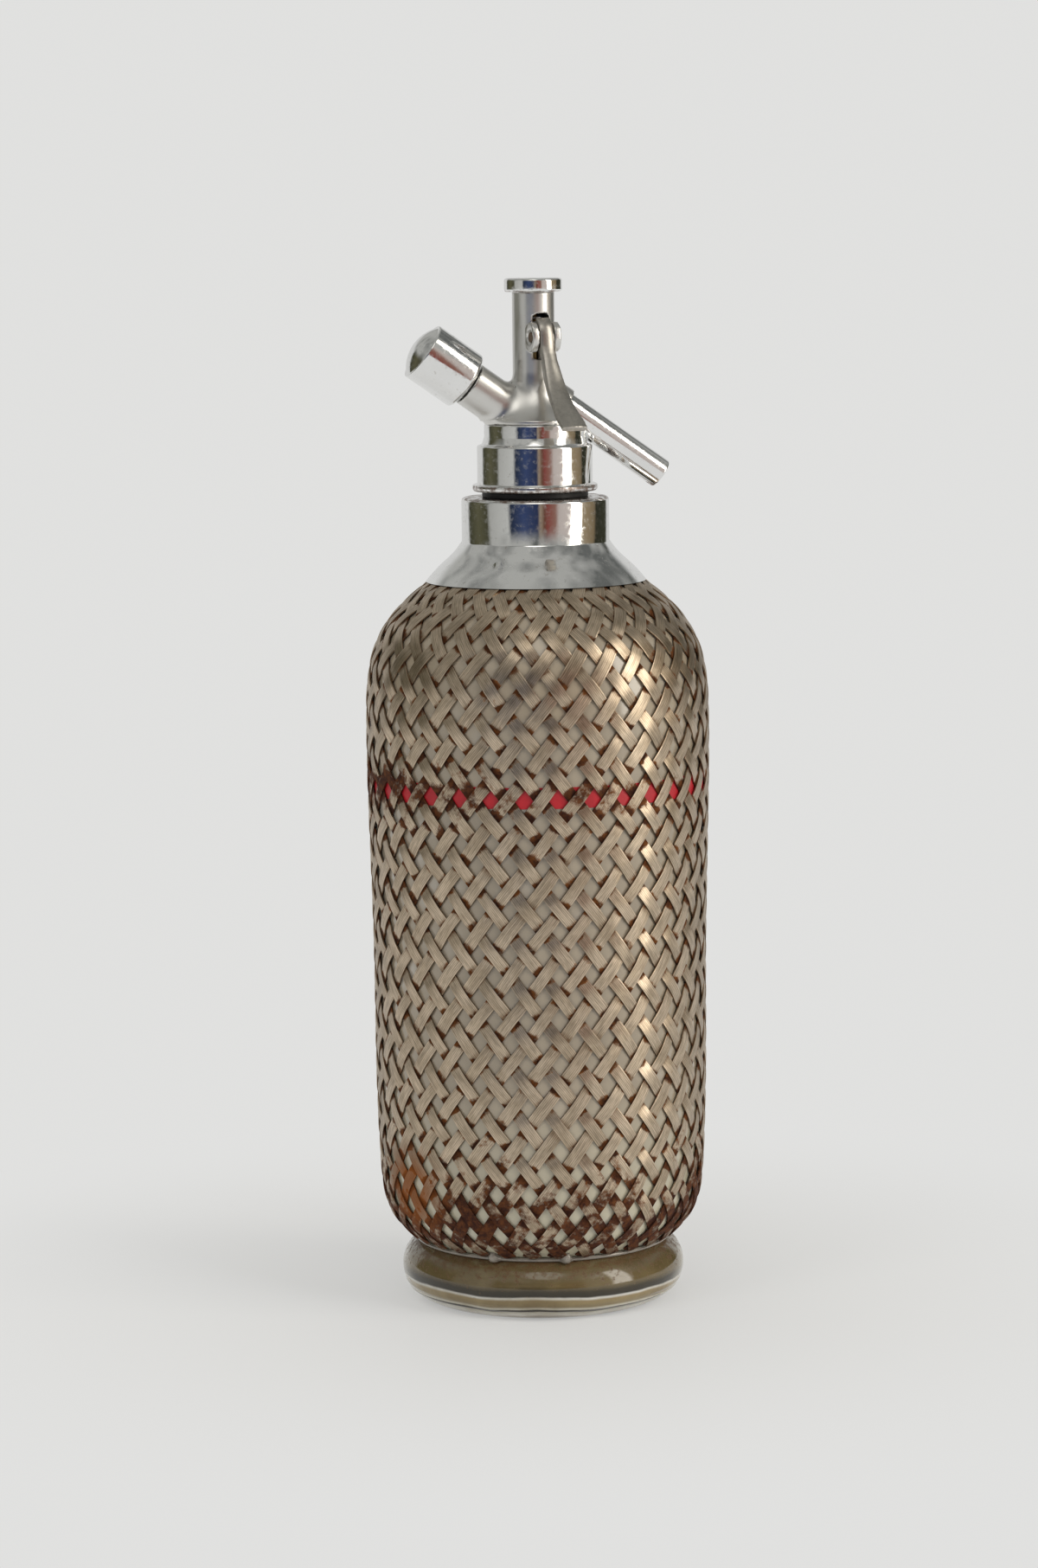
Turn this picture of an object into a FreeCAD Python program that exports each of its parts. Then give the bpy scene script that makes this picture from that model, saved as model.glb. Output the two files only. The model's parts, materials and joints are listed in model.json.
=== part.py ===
import FreeCAD, Part
import math
import os

# Soda siphon: a glass bottle in a woven metal sleeve, a screwed-on dispensing head
# with a squeeze lever, a spout, and a charging inlet closed by a screw cap.
# Millimetres. Origin at the centre of the base, +Z up, spout towards +X, inlet towards -X.

# Glass bottle: foot
foot_contact_r = 35.0
foot_bulge_r = 43.2
foot_bulge_z = 9.6
foot_neck_z = 18.7
punt_rim_r = 33.0
punt_rise = 8.0
glass_floor = 11.0
floor_crown = 1.5
floor_corner = 9.0

# Glass bottle: body, from the widest place down and up, as radius and height
body_belly_r = 50.9
body_belly_z = 178.0
body_low_r = 48.4
body_low_z = 41.0
body_heel_r = 45.3
body_heel_z = 26.8
body_hem_r = 39.4
body_hem_z = 20.1
body_shoulder_r = 47.0
body_shoulder_z = 202.8
body_slope_r = 41.1
body_slope_z = 211.2
body_top_r = 32.5
body_top_z = 218.75
neck_curve_r = 23.8
neck_curve_z = 225.6
glass_wall = 4.0
glass_neck_r = 19.0
glass_neck_z = 234.0
glass_bore_r = 12.5
glass_mouth_z = 240.0

# Woven sleeve and its trim
sleeve_gap = 0.25
sleeve_thickness = 0.95
skin_steps = 24
hem_wire_r = 0.65
hem_clearance = 0.1
fill_line_z = 159.8
fill_line_height = 6.3
fill_line_thickness = 0.1
fill_line_gap = 0.07

# Shoulder collar
collar_wall = 1.2
collar_rim_wall = 0.8
collar_rim_r = 33.3
collar_rim_z = 219.8
collar_flare_r = 29.3
collar_flare_z = 224.3
collar_bend_r = 25.0
collar_bend_z = 228.3
collar_waist_r = 22.3
collar_waist_z = 231.8
collar_top_z = 245.0
collar_edge_r = 1.2

# Threaded neck bush, its packings and the outer seal
mouth_washer_height = 1.5
bush_flange_height = 2.0
bush_flange_clearance = 0.1
bush_bore_r = 10.5
bush_root_r = 13.4
bush_crest_r = 14.5
bush_top_z = 259.6
neck_thread_pitch = 3.0
neck_thread_turns = 3
neck_thread_start_z = 248.4
thread_clearance = 0.4
thread_root_width = 1.2
thread_crest_width = 0.5
cement_clearance = 0.1
cement_bottom_z = 235.0
seal_outer_r = 16.0
seal_height = 1.8

# Neck cap of the head
neck_cap_lip_r = 18.9
neck_cap_lip_height = 2.2
neck_cap_r = 17.4
neck_cap_shoulder_z = 260.5
neck_cap_top_r = 15.2
neck_cap_cove_z = 263.0
neck_cap_top_z = 267.0
neck_cap_plate = 5.0
head_washer_height = 2.0
head_washer_outer_r = 13.2

# Head casting: column, cone and the passages in it
column_r = 6.35
column_bore_r = 4.2
column_height = 39.4
column_top_z = neck_cap_top_z + column_height
cone_rim_r = 13.9
cone_rim_height = 1.2
cone_height = 16.0
cone_top_z = neck_cap_top_z + cone_height
shank_r = 7.5
shank_length = 11.0
shank_bottom_z = neck_cap_top_z - shank_length
liquid_bore_r = 3.4
gland_packing_height = 2.0
gland_nut_height = 2.5
gas_way_r = 0.8
gas_way_offset = 5.6

# Column cap at the top
column_cap_r = 8.7
column_cap_height = 4.1
column_cap_spigot = 3.0
column_cap_edge = 0.8

# Charging inlet arm and its screw cap, measured along the arm from the column's axis
arm_tilt = 35.0
arm_axis_drop = 1.7
arm_axis_z = neck_cap_top_z - arm_axis_drop
arm_r = 6.8
arm_shoulder_t = 24.4
inlet_root_r = 5.7
inlet_crest_r = 6.5
arm_end_t = 38.4
inlet_pitch = 2.0
inlet_thread_turns = 4
inlet_thread_start_t = 28.0
inlet_root_width = 0.8
inlet_crest_width = 0.3
inlet_thread_clearance = 0.35
inlet_bore_r = 3.4
inlet_chamber_t = 21.0
ball_r = 2.2
ball_travel = 1.2
ball_clearance = 0.05
ball_chamber_r = 2.5
ball_seat_r = 1.6
needle_r = 1.1
needle_tip_t = 40.0
cap_mouth_t = 25.6
cap_r = 9.1
cap_length = 16.3
cap_dome = 3.1
cap_washer_thickness = 2.0
cap_washer_bore_r = 3.6

# Spout, measured along its own axis from the column's axis
spout_tilt = 35.0
spout_axis_rise = 11.4
spout_axis_z = neck_cap_top_z + spout_axis_rise
spout_r = 4.55
spout_bore_r = 3.2
spout_start_t = 7.0
spout_length = 41.0
spout_boss_r = 5.6
spout_boss_t = 11.0
spout_port_r = 2.4
gland_seat_rise = 3.1
gland_seat_z = spout_axis_z + gland_seat_rise

# Lever, pin and the ears that carry the pin
lever_azimuth = -80.0
pin_offset = 7.3
pin_drop = 13.4
pin_z = column_top_z - pin_drop
pin_r = 1.5
pin_clearance = 0.05
hub_r = 3.4
lever_half_width = 2.3
lever_tip_half_width = 4.1
lever_thickness = 3.0
lever_tip_thickness = 2.0
lever_crown_rise = 5.9
lever_crown_reach = 4.4
lever_crown_back = 1.0
lever_crown_angles = [90.0, 62.0, 36.0, 12.0]
lever_bend = [(4.0, 2.5), (6.3, 7.5), (9.0, 12.5), (13.0, 17.5), (18.6, 22.3)]
lever_tip_reach = 23.0
lever_tip_drop = 25.8
lever_flare = [(6.5, 0.0), (13.0, 0.65), (20.0, 1.15)]
lever_side_clearance = 0.2
ear_thickness = 2.1
ear_half_height = 4.5
ear_half_width = 3.2
ear_recess_r = 2.2
ear_recess_depth = 0.7
toe_reach = 8.8
toe_thickness = 2.0
toe_slot_half_width = 1.6
lever_range = 16.0
slot_depth = 6.6
slot_bottom_z = pin_z - slot_depth
slot_headroom = 1.1
slot_corner = 0.8

# Valve
seat_drop = 7.5
seat_bottom_z = neck_cap_top_z - seat_drop
seat_height = 2.5
seat_bore_r = 1.9
valve_disc_r = 2.9
valve_disc_height = 1.4
valve_washer_height = 1.8
valve_stub_r = 0.8
spindle_r = 1.4
spindle_guide_overlap = 1.1
spindle_top_z = column_top_z - column_cap_spigot + spindle_guide_overlap
running_clearance = 0.05
lift_collar_r = 3.4
lift_collar_height = 2.0
spring_wire_r = 0.35
spring_turns = 5
spring_clearance = 0.5

# Dip tube
dip_tube_r = 3.0
dip_tube_bore_r = 2.1
dip_tube_bottom_gap = 8.0
ferrule_flange_r = 4.6
ferrule_flange_height = 3.0
ferrule_sleeve_length = 10.0
ferrule_wall = 0.8
tube_nut_r = 9.2
tube_nut_drop = 5.5
tube_nut_bottom_z = shank_bottom_z - tube_nut_drop
tube_nut_floor = 3.0

TURN = 360.0


def vec(x, y, z):
    """A point or direction."""
    return FreeCAD.Vector(x, y, z)


def lathe(edges):
    """Solid of revolution about Z from a closed run of edges in the XZ plane."""
    face = Part.Face(Part.Wire(Part.__sortEdges__(edges)))
    return face.revolve(vec(0, 0, 0), vec(0, 0, 1), TURN)


def runs(points):
    """Straight edges through a list of (radius, height) points."""
    corners = [vec(r, 0, z) for r, z in points]
    return [Part.LineSegment(a, b).toShape() for a, b in zip(corners[:-1], corners[1:])]


def arc(start, middle, end):
    """Arc edge through three (radius, height) points."""
    ends = [vec(r, 0, z) for r, z in (start, middle, end)]
    return Part.Arc(*ends).toShape()


def dome_arc(rim_r, rim_z, rise):
    """Arc of a sphere centred on the axis, from a rim up to the pole."""
    sphere_r = (rim_r ** 2 + rise ** 2) / (2 * rise)
    half = math.asin(rim_r / sphere_r) / 2
    centre_z = rim_z + rise - sphere_r
    middle = (sphere_r * math.sin(half), centre_z + sphere_r * math.cos(half))
    return arc((rim_r, rim_z), middle, (0, rim_z + rise))


def curve_through(points):
    """Smooth curve through (radius, height) points."""
    curve = Part.BSplineCurve()
    curve.interpolate([vec(r, 0, z) for r, z in points])
    return curve


def turned(points):
    """Solid of revolution about Z from a closed polygon of (radius, height) points."""
    return lathe(runs(points + points[:1]))


def ring(outer_r, inner_r, bottom_z, top_z):
    """Plain ring about Z."""
    return turned([(inner_r, bottom_z), (outer_r, bottom_z), (outer_r, top_z), (inner_r, top_z)])


def rod(radius, bottom_z, top_z):
    """Plain round rod about Z."""
    return Part.makeCylinder(radius, top_z - bottom_z, vec(0, 0, bottom_z))


def offset_points(points, distance):
    """Points of a smooth curve, each moved along the curve's normal towards the outside."""
    curve = curve_through(points)
    moved = []
    for r, z in points:
        along = curve.tangent(curve.parameter(vec(r, 0, z)))[0]
        moved.append((r + distance * along.z, z - distance * along.x))
    return moved


def along_arm(shape, tilt, side, axis_z):
    """Turn a shape built about Z so that Z lies along an arm of the head."""
    turn = FreeCAD.Rotation(vec(0, 1, 0), side * (90.0 - tilt))
    placed = shape.copy()
    placed.Placement = FreeCAD.Placement(vec(0, 0, axis_z), turn)
    return placed


def on_inlet(shape):
    """Inlet arm: up and to -X."""
    return along_arm(shape, arm_tilt, -1.0, arm_axis_z)


def on_spout(shape):
    """Spout: down and to +X."""
    return along_arm(shape, -spout_tilt, 1.0, spout_axis_z)


def in_lever_plane(shape):
    """Turn a shape built with the lever along +X so that the lever has its azimuth."""
    turned_shape = shape.copy()
    turned_shape.rotate(vec(0, 0, 0), vec(0, 0, 1), lever_azimuth)
    return turned_shape


def thread_ridge(core_r, crest_r, pitch, turns, root_width, crest_width, start_z, start_angle):
    """Right-handed ridge: a trapezium carried round a helix, its root sunk into the core."""
    sink = 0.2 if crest_r > core_r else -0.2
    helix = Part.makeLongHelix(pitch, pitch * turns, core_r)
    profile = Part.makePolygon([
        vec(core_r - sink, 0, -root_width / 2),
        vec(crest_r, 0, -crest_width / 2),
        vec(crest_r, 0, crest_width / 2),
        vec(core_r - sink, 0, root_width / 2),
        vec(core_r - sink, 0, -root_width / 2),
    ])
    ridge = Part.Wire(helix.Edges).makePipeShell([profile], True, True)
    ridge.rotate(vec(0, 0, 0), vec(0, 0, 1), start_angle)
    ridge.translate(vec(0, 0, start_z))
    return ridge


def foot_arc_r():
    """Radius of the foot's round bulge, an arc that stands on the contact ring."""
    step = foot_bulge_r - foot_contact_r
    return (foot_bulge_z ** 2 + step ** 2) / (2 * step)


def foot_top():
    """Where the foot's round bulge meets the body."""
    bulge = foot_arc_r()
    swing = math.asin((foot_neck_z - foot_bulge_z) / bulge)
    return (foot_bulge_r - bulge + bulge * math.cos(swing), foot_neck_z)


def body_points():
    """Outside of the glass from the groove over the foot up to the neck."""
    return [
        foot_top(),
        (body_hem_r, body_hem_z),
        (body_heel_r, body_heel_z),
        (body_low_r, body_low_z),
        ((body_low_r + body_belly_r) / 2, (body_low_z + body_belly_z) / 2),
        (body_belly_r, body_belly_z),
        (body_shoulder_r, body_shoulder_z),
        (body_slope_r, body_slope_z),
        (body_top_r, body_top_z),
        (neck_curve_r, neck_curve_z),
        (glass_neck_r, glass_neck_z),
    ]


def body_offset(distance, first, last):
    """Stretch of the glass between two of its points, moved outwards by a distance."""
    points = body_points()
    curve = curve_through(points)
    start, end = [curve.parameter(vec(points[k][0], 0, points[k][1])) for k in (first, last)]
    moved = []
    for index in range(skin_steps + 1):
        at = start + (end - start) * index / skin_steps
        place = curve.value(at)
        along = curve.tangent(at)[0]
        moved.append((place.x + distance * along.z, place.z - distance * along.x))
    return moved


def sleeved(distance):
    """Stretch of the body that the sleeve covers, moved outwards by a distance."""
    return body_offset(distance, 1, -3)


def make_bottle():
    """Blown glass bottle: pushed-up foot, body, neck and mouth."""
    outside = body_points()
    inside = body_offset(-glass_wall, 2, -3)
    heel = inside[0]
    pole_z = punt_rise + glass_floor
    contact = (foot_contact_r, 0)
    edges = [dome_arc(punt_rim_r, 0, punt_rise)]
    edges += runs([(punt_rim_r, 0), contact])
    edges += [arc(contact, (foot_bulge_r, foot_bulge_z), foot_top())]
    edges += [curve_through(outside).toShape()]
    edges += runs([outside[-1], (glass_neck_r, glass_mouth_z), (glass_bore_r, glass_mouth_z)])
    inside += [
        ((glass_bore_r + inside[-1][0]) / 2 - 1.0, body_top_z + 2.5),
        (glass_bore_r, glass_neck_z - 2.0),
    ]
    edges += runs([(glass_bore_r, glass_mouth_z), inside[-1]])
    edges += [curve_through(inside).toShape()]
    floor_rim = (heel[0] - floor_corner, pole_z - floor_crown)
    edges += [arc(heel, (heel[0] - 0.3 * floor_corner, (heel[1] + floor_rim[1]) / 2 - 1.2), floor_rim)]
    edges += [dome_arc(floor_rim[0], floor_rim[1], floor_crown)]
    edges += runs([(0, pole_z), (0, punt_rise)])
    return lathe(edges)


def make_mesh_sleeve():
    """Plain skin over the body that holds the place of the woven sleeve."""
    inner = sleeved(sleeve_gap)
    outer = sleeved(sleeve_gap + sleeve_thickness)
    edges = [curve_through(inner).toShape(), curve_through(outer).toShape()]
    edges += runs([inner[0], outer[0]])
    edges += runs([inner[-1], outer[-1]])
    return lathe(edges)


def make_sleeve_hem():
    """Wire ring that ends the sleeve, in the groove between the foot's bulge and the body."""
    away = hem_wire_r + hem_clearance
    groove = vec(foot_top()[0], 0, foot_top()[1])
    slope = (vec(body_hem_r, 0, body_hem_z) - groove).normalize()
    start = groove + vec(slope.z, 0, -slope.x) * away
    reach = start - vec(foot_bulge_r - foot_arc_r(), 0, foot_bulge_z)
    half = reach.dot(slope)
    run = math.sqrt(half ** 2 - reach.dot(reach) + (foot_arc_r() + away) ** 2) - half
    centre = start + slope * run
    return Part.makeTorus(centre.x, hem_wire_r, vec(0, 0, centre.z), vec(0, 0, 1))


def make_fill_line():
    """Painted band round the glass, under the sleeve."""
    skin = curve_through(body_points()).toShape()
    reach = 4 * body_belly_r
    inner = []
    for share in (-0.5, 0.0, 0.5):
        z = fill_line_z + share * fill_line_height
        level = Part.makePlane(reach, reach, vec(-reach / 2, -reach / 2, z))
        inner.append((skin.section(level).Vertexes[0].X + fill_line_gap, z))
    outer = [(r + fill_line_thickness, z) for r, z in inner]
    edges = [curve_through(inner).toShape(), curve_through(outer).toShape()]
    edges += runs([inner[0], outer[0]])
    edges += runs([inner[-1], outer[-1]])
    return lathe(edges)


def make_shoulder_collar():
    """Spun collar over the bottle's shoulder and neck."""
    outer = [
        (collar_rim_r, collar_rim_z),
        (collar_flare_r, collar_flare_z),
        (collar_bend_r, collar_bend_z),
        (collar_waist_r, collar_waist_z),
    ]
    inner = offset_points(outer, -collar_wall)
    inner[0] = (collar_rim_r - collar_rim_wall, collar_rim_z + collar_rim_wall * 0.7)
    bore = bush_crest_r + thread_clearance
    top = collar_top_z
    under_top = top - collar_wall
    bend = collar_edge_r * (1 - math.sqrt(0.5))
    edges = [curve_through(outer).toShape(), curve_through(inner).toShape()]
    edges += runs([outer[0], inner[0]])
    edges += runs([outer[-1], (collar_waist_r, top - collar_edge_r)])
    edges += [arc((collar_waist_r, top - collar_edge_r), (collar_waist_r - bend, top - bend),
                  (collar_waist_r - collar_edge_r, top))]
    edges += runs([(collar_waist_r - collar_edge_r, top), (bore, top), (bore, under_top),
                   (collar_waist_r - collar_wall, under_top), inner[-1]])
    return lathe(edges)


def bush_flange_bottom():
    return glass_mouth_z + mouth_washer_height


def make_neck_cement():
    """Cement between the glass neck and the collar."""
    outer = collar_waist_r - collar_wall - cement_clearance
    return ring(outer, glass_neck_r + cement_clearance, cement_bottom_z, glass_mouth_z - 0.5)


def make_mouth_washer():
    """Rubber washer on the bottle's mouth."""
    return ring(glass_neck_r, glass_bore_r, glass_mouth_z, bush_flange_bottom())


def make_neck_bush():
    """Threaded bush that the head screws on, held by the collar's turned-in top."""
    flange_r = collar_waist_r - collar_wall - bush_flange_clearance
    bottom = bush_flange_bottom()
    top = collar_top_z - collar_wall
    core = turned([
        (bush_bore_r, bottom), (flange_r, bottom), (flange_r, top), (bush_root_r, top),
        (bush_root_r, bush_top_z), (bush_bore_r, bush_top_z),
    ])
    ridge = thread_ridge(bush_root_r, bush_crest_r, neck_thread_pitch, neck_thread_turns,
                         thread_root_width, thread_crest_width, neck_thread_start_z, 0.0)
    return core.fuse(ridge)


def make_neck_seal():
    """Black rubber ring between the collar and the neck cap."""
    return ring(seal_outer_r, bush_crest_r + thread_clearance, collar_top_z,
                collar_top_z + seal_height)


def neck_cap_bottom():
    return collar_top_z + seal_height


def make_neck_cap(cutters):
    """Neck cap of the head: beaded lip, cylinder, cove and plate, threaded inside."""
    bottom = neck_cap_bottom()
    lip_top = bottom + neck_cap_lip_height
    bead = neck_cap_lip_height / 2
    bore = bush_crest_r + thread_clearance
    chamber_top = neck_cap_top_z - neck_cap_plate
    cove = (neck_cap_top_r + 0.5, neck_cap_shoulder_z + 1.4)
    edges = runs([(bore, bottom), (neck_cap_lip_r - bead, bottom)])
    edges += [arc((neck_cap_lip_r - bead, bottom), (neck_cap_lip_r, bottom + bead),
                  (neck_cap_lip_r - bead, lip_top))]
    shoulder = (neck_cap_r, neck_cap_shoulder_z - 0.8)
    edges += runs([(neck_cap_lip_r - bead, lip_top), (neck_cap_r, lip_top), shoulder])
    edges += [arc(shoulder, (neck_cap_r - 0.25, neck_cap_shoulder_z - 0.2),
                  (neck_cap_r - 0.8, neck_cap_shoulder_z))]
    edges += [arc((neck_cap_r - 0.8, neck_cap_shoulder_z), cove, (neck_cap_top_r, neck_cap_cove_z))]
    edges += runs([(neck_cap_top_r, neck_cap_cove_z), (neck_cap_top_r, neck_cap_top_z - 0.4),
                   (neck_cap_top_r - 0.4, neck_cap_top_z), (shank_r, neck_cap_top_z),
                   (shank_r, chamber_top), (bore, chamber_top), (bore, bottom)])
    ridge = thread_ridge(bore, bore - (bush_crest_r - bush_root_r), neck_thread_pitch,
                         neck_thread_turns, thread_root_width, thread_crest_width,
                         neck_thread_start_z, 180.0)
    cap = lathe(edges).fuse(ridge)
    for cutter in cutters:
        cap = cap.cut(cutter)
    return cap


def make_head_washer():
    """Rubber washer under the neck cap's plate."""
    top = neck_cap_top_z - neck_cap_plate
    return ring(head_washer_outer_r, shank_r, top - head_washer_height, top)


def ear_outline(half_width, half_height):
    """Oval outline in the XZ plane about the pin."""
    oval = Part.Ellipse(vec(0, 0, 0), half_height, half_width).toShape()
    face = Part.Face(Part.Wire([oval]))
    face.rotate(vec(0, 0, 0), vec(0, 0, 1), 90)
    face.rotate(vec(0, 0, 0), vec(1, 0, 0), 90)
    face.translate(vec(pin_offset, 0, pin_z))
    return face


def cone_skin():
    """Column and cone of the casting, outside only, with the shank below."""
    rim_top = neck_cap_top_z + cone_rim_height
    edges = runs([(0, shank_bottom_z), (shank_r, shank_bottom_z), (shank_r, neck_cap_top_z),
                  (cone_rim_r, neck_cap_top_z), (cone_rim_r, rim_top)])
    middle = (column_r + 2.2, rim_top + 6.0)
    edges += [arc((cone_rim_r, rim_top), middle, (column_r, cone_top_z))]
    edges += runs([(column_r, cone_top_z), (column_r, column_top_z), (0, column_top_z),
                   (0, shank_bottom_z)])
    return lathe(edges)


def carrier_t():
    """Place of the ball's seat: the ball touches its rim at the end of its travel."""
    seat_depth = math.sqrt(ball_r ** 2 - ball_seat_r ** 2)
    return inlet_chamber_t + 2 * ball_clearance + ball_r + ball_travel + seat_depth


def spout_hole():
    """Space that the spout tube fills."""
    return on_spout(rod(spout_r, spout_start_t, spout_start_t + spout_length))


def spout_boss():
    """Short socket of the casting round the spout."""
    return on_spout(rod(spout_boss_r, 0.0, spout_boss_t))


def make_head_casting():
    """Column, cone, inlet arm, ears and spout socket in one casting, with its passages."""
    arm = rod(arm_r, 0.0, arm_shoulder_t)
    arm = arm.fuse(rod(inlet_root_r, arm_shoulder_t - 1.0, arm_end_t))
    ridge = thread_ridge(inlet_root_r, inlet_crest_r, inlet_pitch, inlet_thread_turns,
                         inlet_root_width, inlet_crest_width, inlet_thread_start_t, 0.0)
    arm = on_inlet(arm.fuse(ridge))
    gap = lever_half_width + lever_side_clearance
    ears = ear_outline(ear_half_width, ear_half_height)
    ears.translate(vec(0, gap + ear_thickness, 0))
    ears = ears.extrude(vec(0, -2 * (gap + ear_thickness), 0))
    web = Part.makeBox(pin_offset, 2 * (gap + ear_thickness), 2 * ear_half_height,
                       vec(0, -gap - ear_thickness, pin_z - ear_half_height))
    ears = in_lever_plane(ears.fuse(web.common(rod(column_r, slot_bottom_z, column_top_z))))
    casting = cone_skin().fuse([arm, spout_boss(), ears])
    casting = casting.cut(ring(arm_end_t, shank_r, shank_bottom_z - arm_r, neck_cap_top_z))
    slot_top = pin_z + lever_crown_rise + slot_headroom
    slot = Part.Face(Part.makePolygon([
        vec(0, -gap, slot_bottom_z), vec(0, gap, slot_bottom_z),
        vec(0, gap, slot_top - slot_corner), vec(0, gap - slot_corner, slot_top),
        vec(0, slot_corner - gap, slot_top), vec(0, -gap, slot_top - slot_corner),
        vec(0, -gap, slot_bottom_z),
    ])).extrude(vec(pin_offset + 2 * hub_r, 0, 0))
    casting = casting.cut(in_lever_plane(slot))
    half_pin = gap + ear_thickness
    pin_hole = Part.makeCylinder(pin_r, 2 * half_pin, vec(pin_offset, -half_pin, pin_z),
                                 vec(0, 1, 0))
    recesses = []
    for side in (-1, 1):
        recesses.append(Part.makeCylinder(
            ear_recess_r, ear_recess_depth,
            vec(pin_offset, side * (half_pin - ear_recess_depth), pin_z), vec(0, side, 0)))
    casting = casting.cut(in_lever_plane(pin_hole.fuse(recesses)))
    casting = casting.cut(rod(column_bore_r, gland_seat_z, column_top_z))
    casting = casting.cut(rod(liquid_bore_r, seat_bottom_z, gland_seat_z))
    casting = casting.cut(rod(ferrule_flange_r + running_clearance, shank_bottom_z, seat_bottom_z))
    casting = casting.cut(on_spout(rod(spout_port_r, 0.0, spout_start_t)))
    casting = casting.cut(spout_hole())
    gas_t = gas_way_offset / math.cos(math.radians(arm_tilt))
    gas_z = arm_axis_z + gas_t * math.sin(math.radians(arm_tilt))
    way = Part.makeCylinder(gas_way_r, gas_z - seat_bottom_z, vec(-gas_way_offset, 0, seat_bottom_z))
    exit_way = Part.makeCylinder(gas_way_r, shank_r, vec(-gas_way_offset, 0, seat_bottom_z),
                                 vec(-1, 0, 0))
    casting = casting.cut([way, exit_way])
    casting = casting.cut(on_inlet(rod(gas_way_r, gas_t, inlet_chamber_t)))
    casting = casting.cut(on_inlet(rod(ball_chamber_r, inlet_chamber_t, carrier_t())))
    casting = casting.cut(on_inlet(rod(inlet_bore_r, carrier_t(), arm_end_t)))
    return casting


def make_column_cap():
    """Screwed plug with a round flange that closes the column."""
    bend = column_cap_edge * (1 - math.sqrt(0.5))
    top = column_top_z + column_cap_height
    edge = column_cap_edge
    guide = spindle_r + 0.1
    guide_top = top - 2.0
    bottom = column_top_z - column_cap_spigot
    low_out = column_cap_r - edge
    edges = runs([(0, top), (low_out, top)])
    edges += [arc((low_out, top), (column_cap_r - bend, top - bend), (column_cap_r, top - edge))]
    edges += runs([(column_cap_r, top - edge), (column_cap_r, column_top_z + edge)])
    edges += [arc((column_cap_r, column_top_z + edge), (column_cap_r - bend, column_top_z + bend),
                  (low_out, column_top_z))]
    edges += runs([(low_out, column_top_z), (column_bore_r, column_top_z), (column_bore_r, bottom),
                   (guide, bottom), (guide, guide_top), (0, guide_top), (0, top)])
    return lathe(edges)


def make_gland_packing():
    """Rubber packing round the spindle."""
    return ring(column_bore_r, spindle_r + running_clearance, gland_seat_z,
                gland_seat_z + gland_packing_height)


def make_gland_nut():
    """Threaded ring that presses the packing down."""
    bottom = gland_seat_z + gland_packing_height
    return ring(column_bore_r, spindle_r + running_clearance, bottom, bottom + gland_nut_height)


def make_valve_seat():
    """Seat ring with a raised rim under the valve washer."""
    top = seat_bottom_z + seat_height
    return turned([
        (seat_bore_r, seat_bottom_z), (liquid_bore_r, seat_bottom_z), (liquid_bore_r, top - 0.6),
        (seat_bore_r + 0.8, top - 0.6), (seat_bore_r + 0.5, top), (seat_bore_r, top),
    ])


def valve_closed_z():
    return seat_bottom_z + seat_height


def make_valve_washer():
    """Soft washer that closes the seat."""
    low = valve_closed_z()
    return ring(valve_disc_r, valve_stub_r, low, low + valve_washer_height)


def make_valve_spindle():
    """Spindle with its disc above the washer and a stub through it."""
    low = valve_closed_z() + 0.3
    disc = valve_closed_z() + valve_washer_height
    return turned([
        (0, low), (valve_stub_r, low), (valve_stub_r, disc), (valve_disc_r, disc),
        (valve_disc_r, disc + valve_disc_height), (spindle_r, disc + valve_disc_height),
        (spindle_r, spindle_top_z), (0, spindle_top_z),
    ])


def toe_top():
    return pin_z + toe_thickness / 2


def make_lift_collar():
    """Collar on the spindle that the lever's toe lifts and the spring presses down."""
    return ring(lift_collar_r, spindle_r, toe_top(), toe_top() + lift_collar_height)


def make_valve_spring():
    """Compression spring between the lift collar and the column cap."""
    low = toe_top() + lift_collar_height + spring_wire_r
    high = column_top_z - column_cap_spigot - spring_wire_r
    mean_r = column_bore_r - spring_clearance - spring_wire_r
    helix = Part.makeLongHelix((high - low) / spring_turns, high - low, mean_r)
    section = Part.Wire([Part.Circle(vec(mean_r, 0, 0), vec(0, 1, 0), spring_wire_r).toShape()])
    spring = Part.Wire(helix.Edges).makePipeShell([section], True, True)
    spring.translate(vec(0, 0, low))
    return spring


def lever_outer_points():
    """Outer side of the lever, from the crown over the pin down to the tip."""
    points = []
    for degrees in lever_crown_angles:
        angle = math.radians(degrees)
        points.append((pin_offset - lever_crown_back + lever_crown_reach * math.cos(angle),
                       pin_z + lever_crown_rise * math.sin(angle)))
    for out, down in lever_bend + [(lever_tip_reach, lever_tip_drop)]:
        points.append((pin_offset + out, pin_z - down))
    return points


def lever_inner_points():
    """Inner side of the lever: the outer side moved in by a thickness that thins to the tip."""
    outer = lever_outer_points()
    curve = curve_through(outer)
    inner = []
    last = len(lever_bend) + 1
    for index, (s, z) in enumerate(outer[-last:], start=1):
        along = curve.tangent(curve.parameter(vec(s, 0, z)))[0]
        thickness = lever_thickness + (lever_tip_thickness - lever_thickness) * index / last
        inner.append((s + thickness * along.z, z - thickness * along.x))
    return inner


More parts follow.
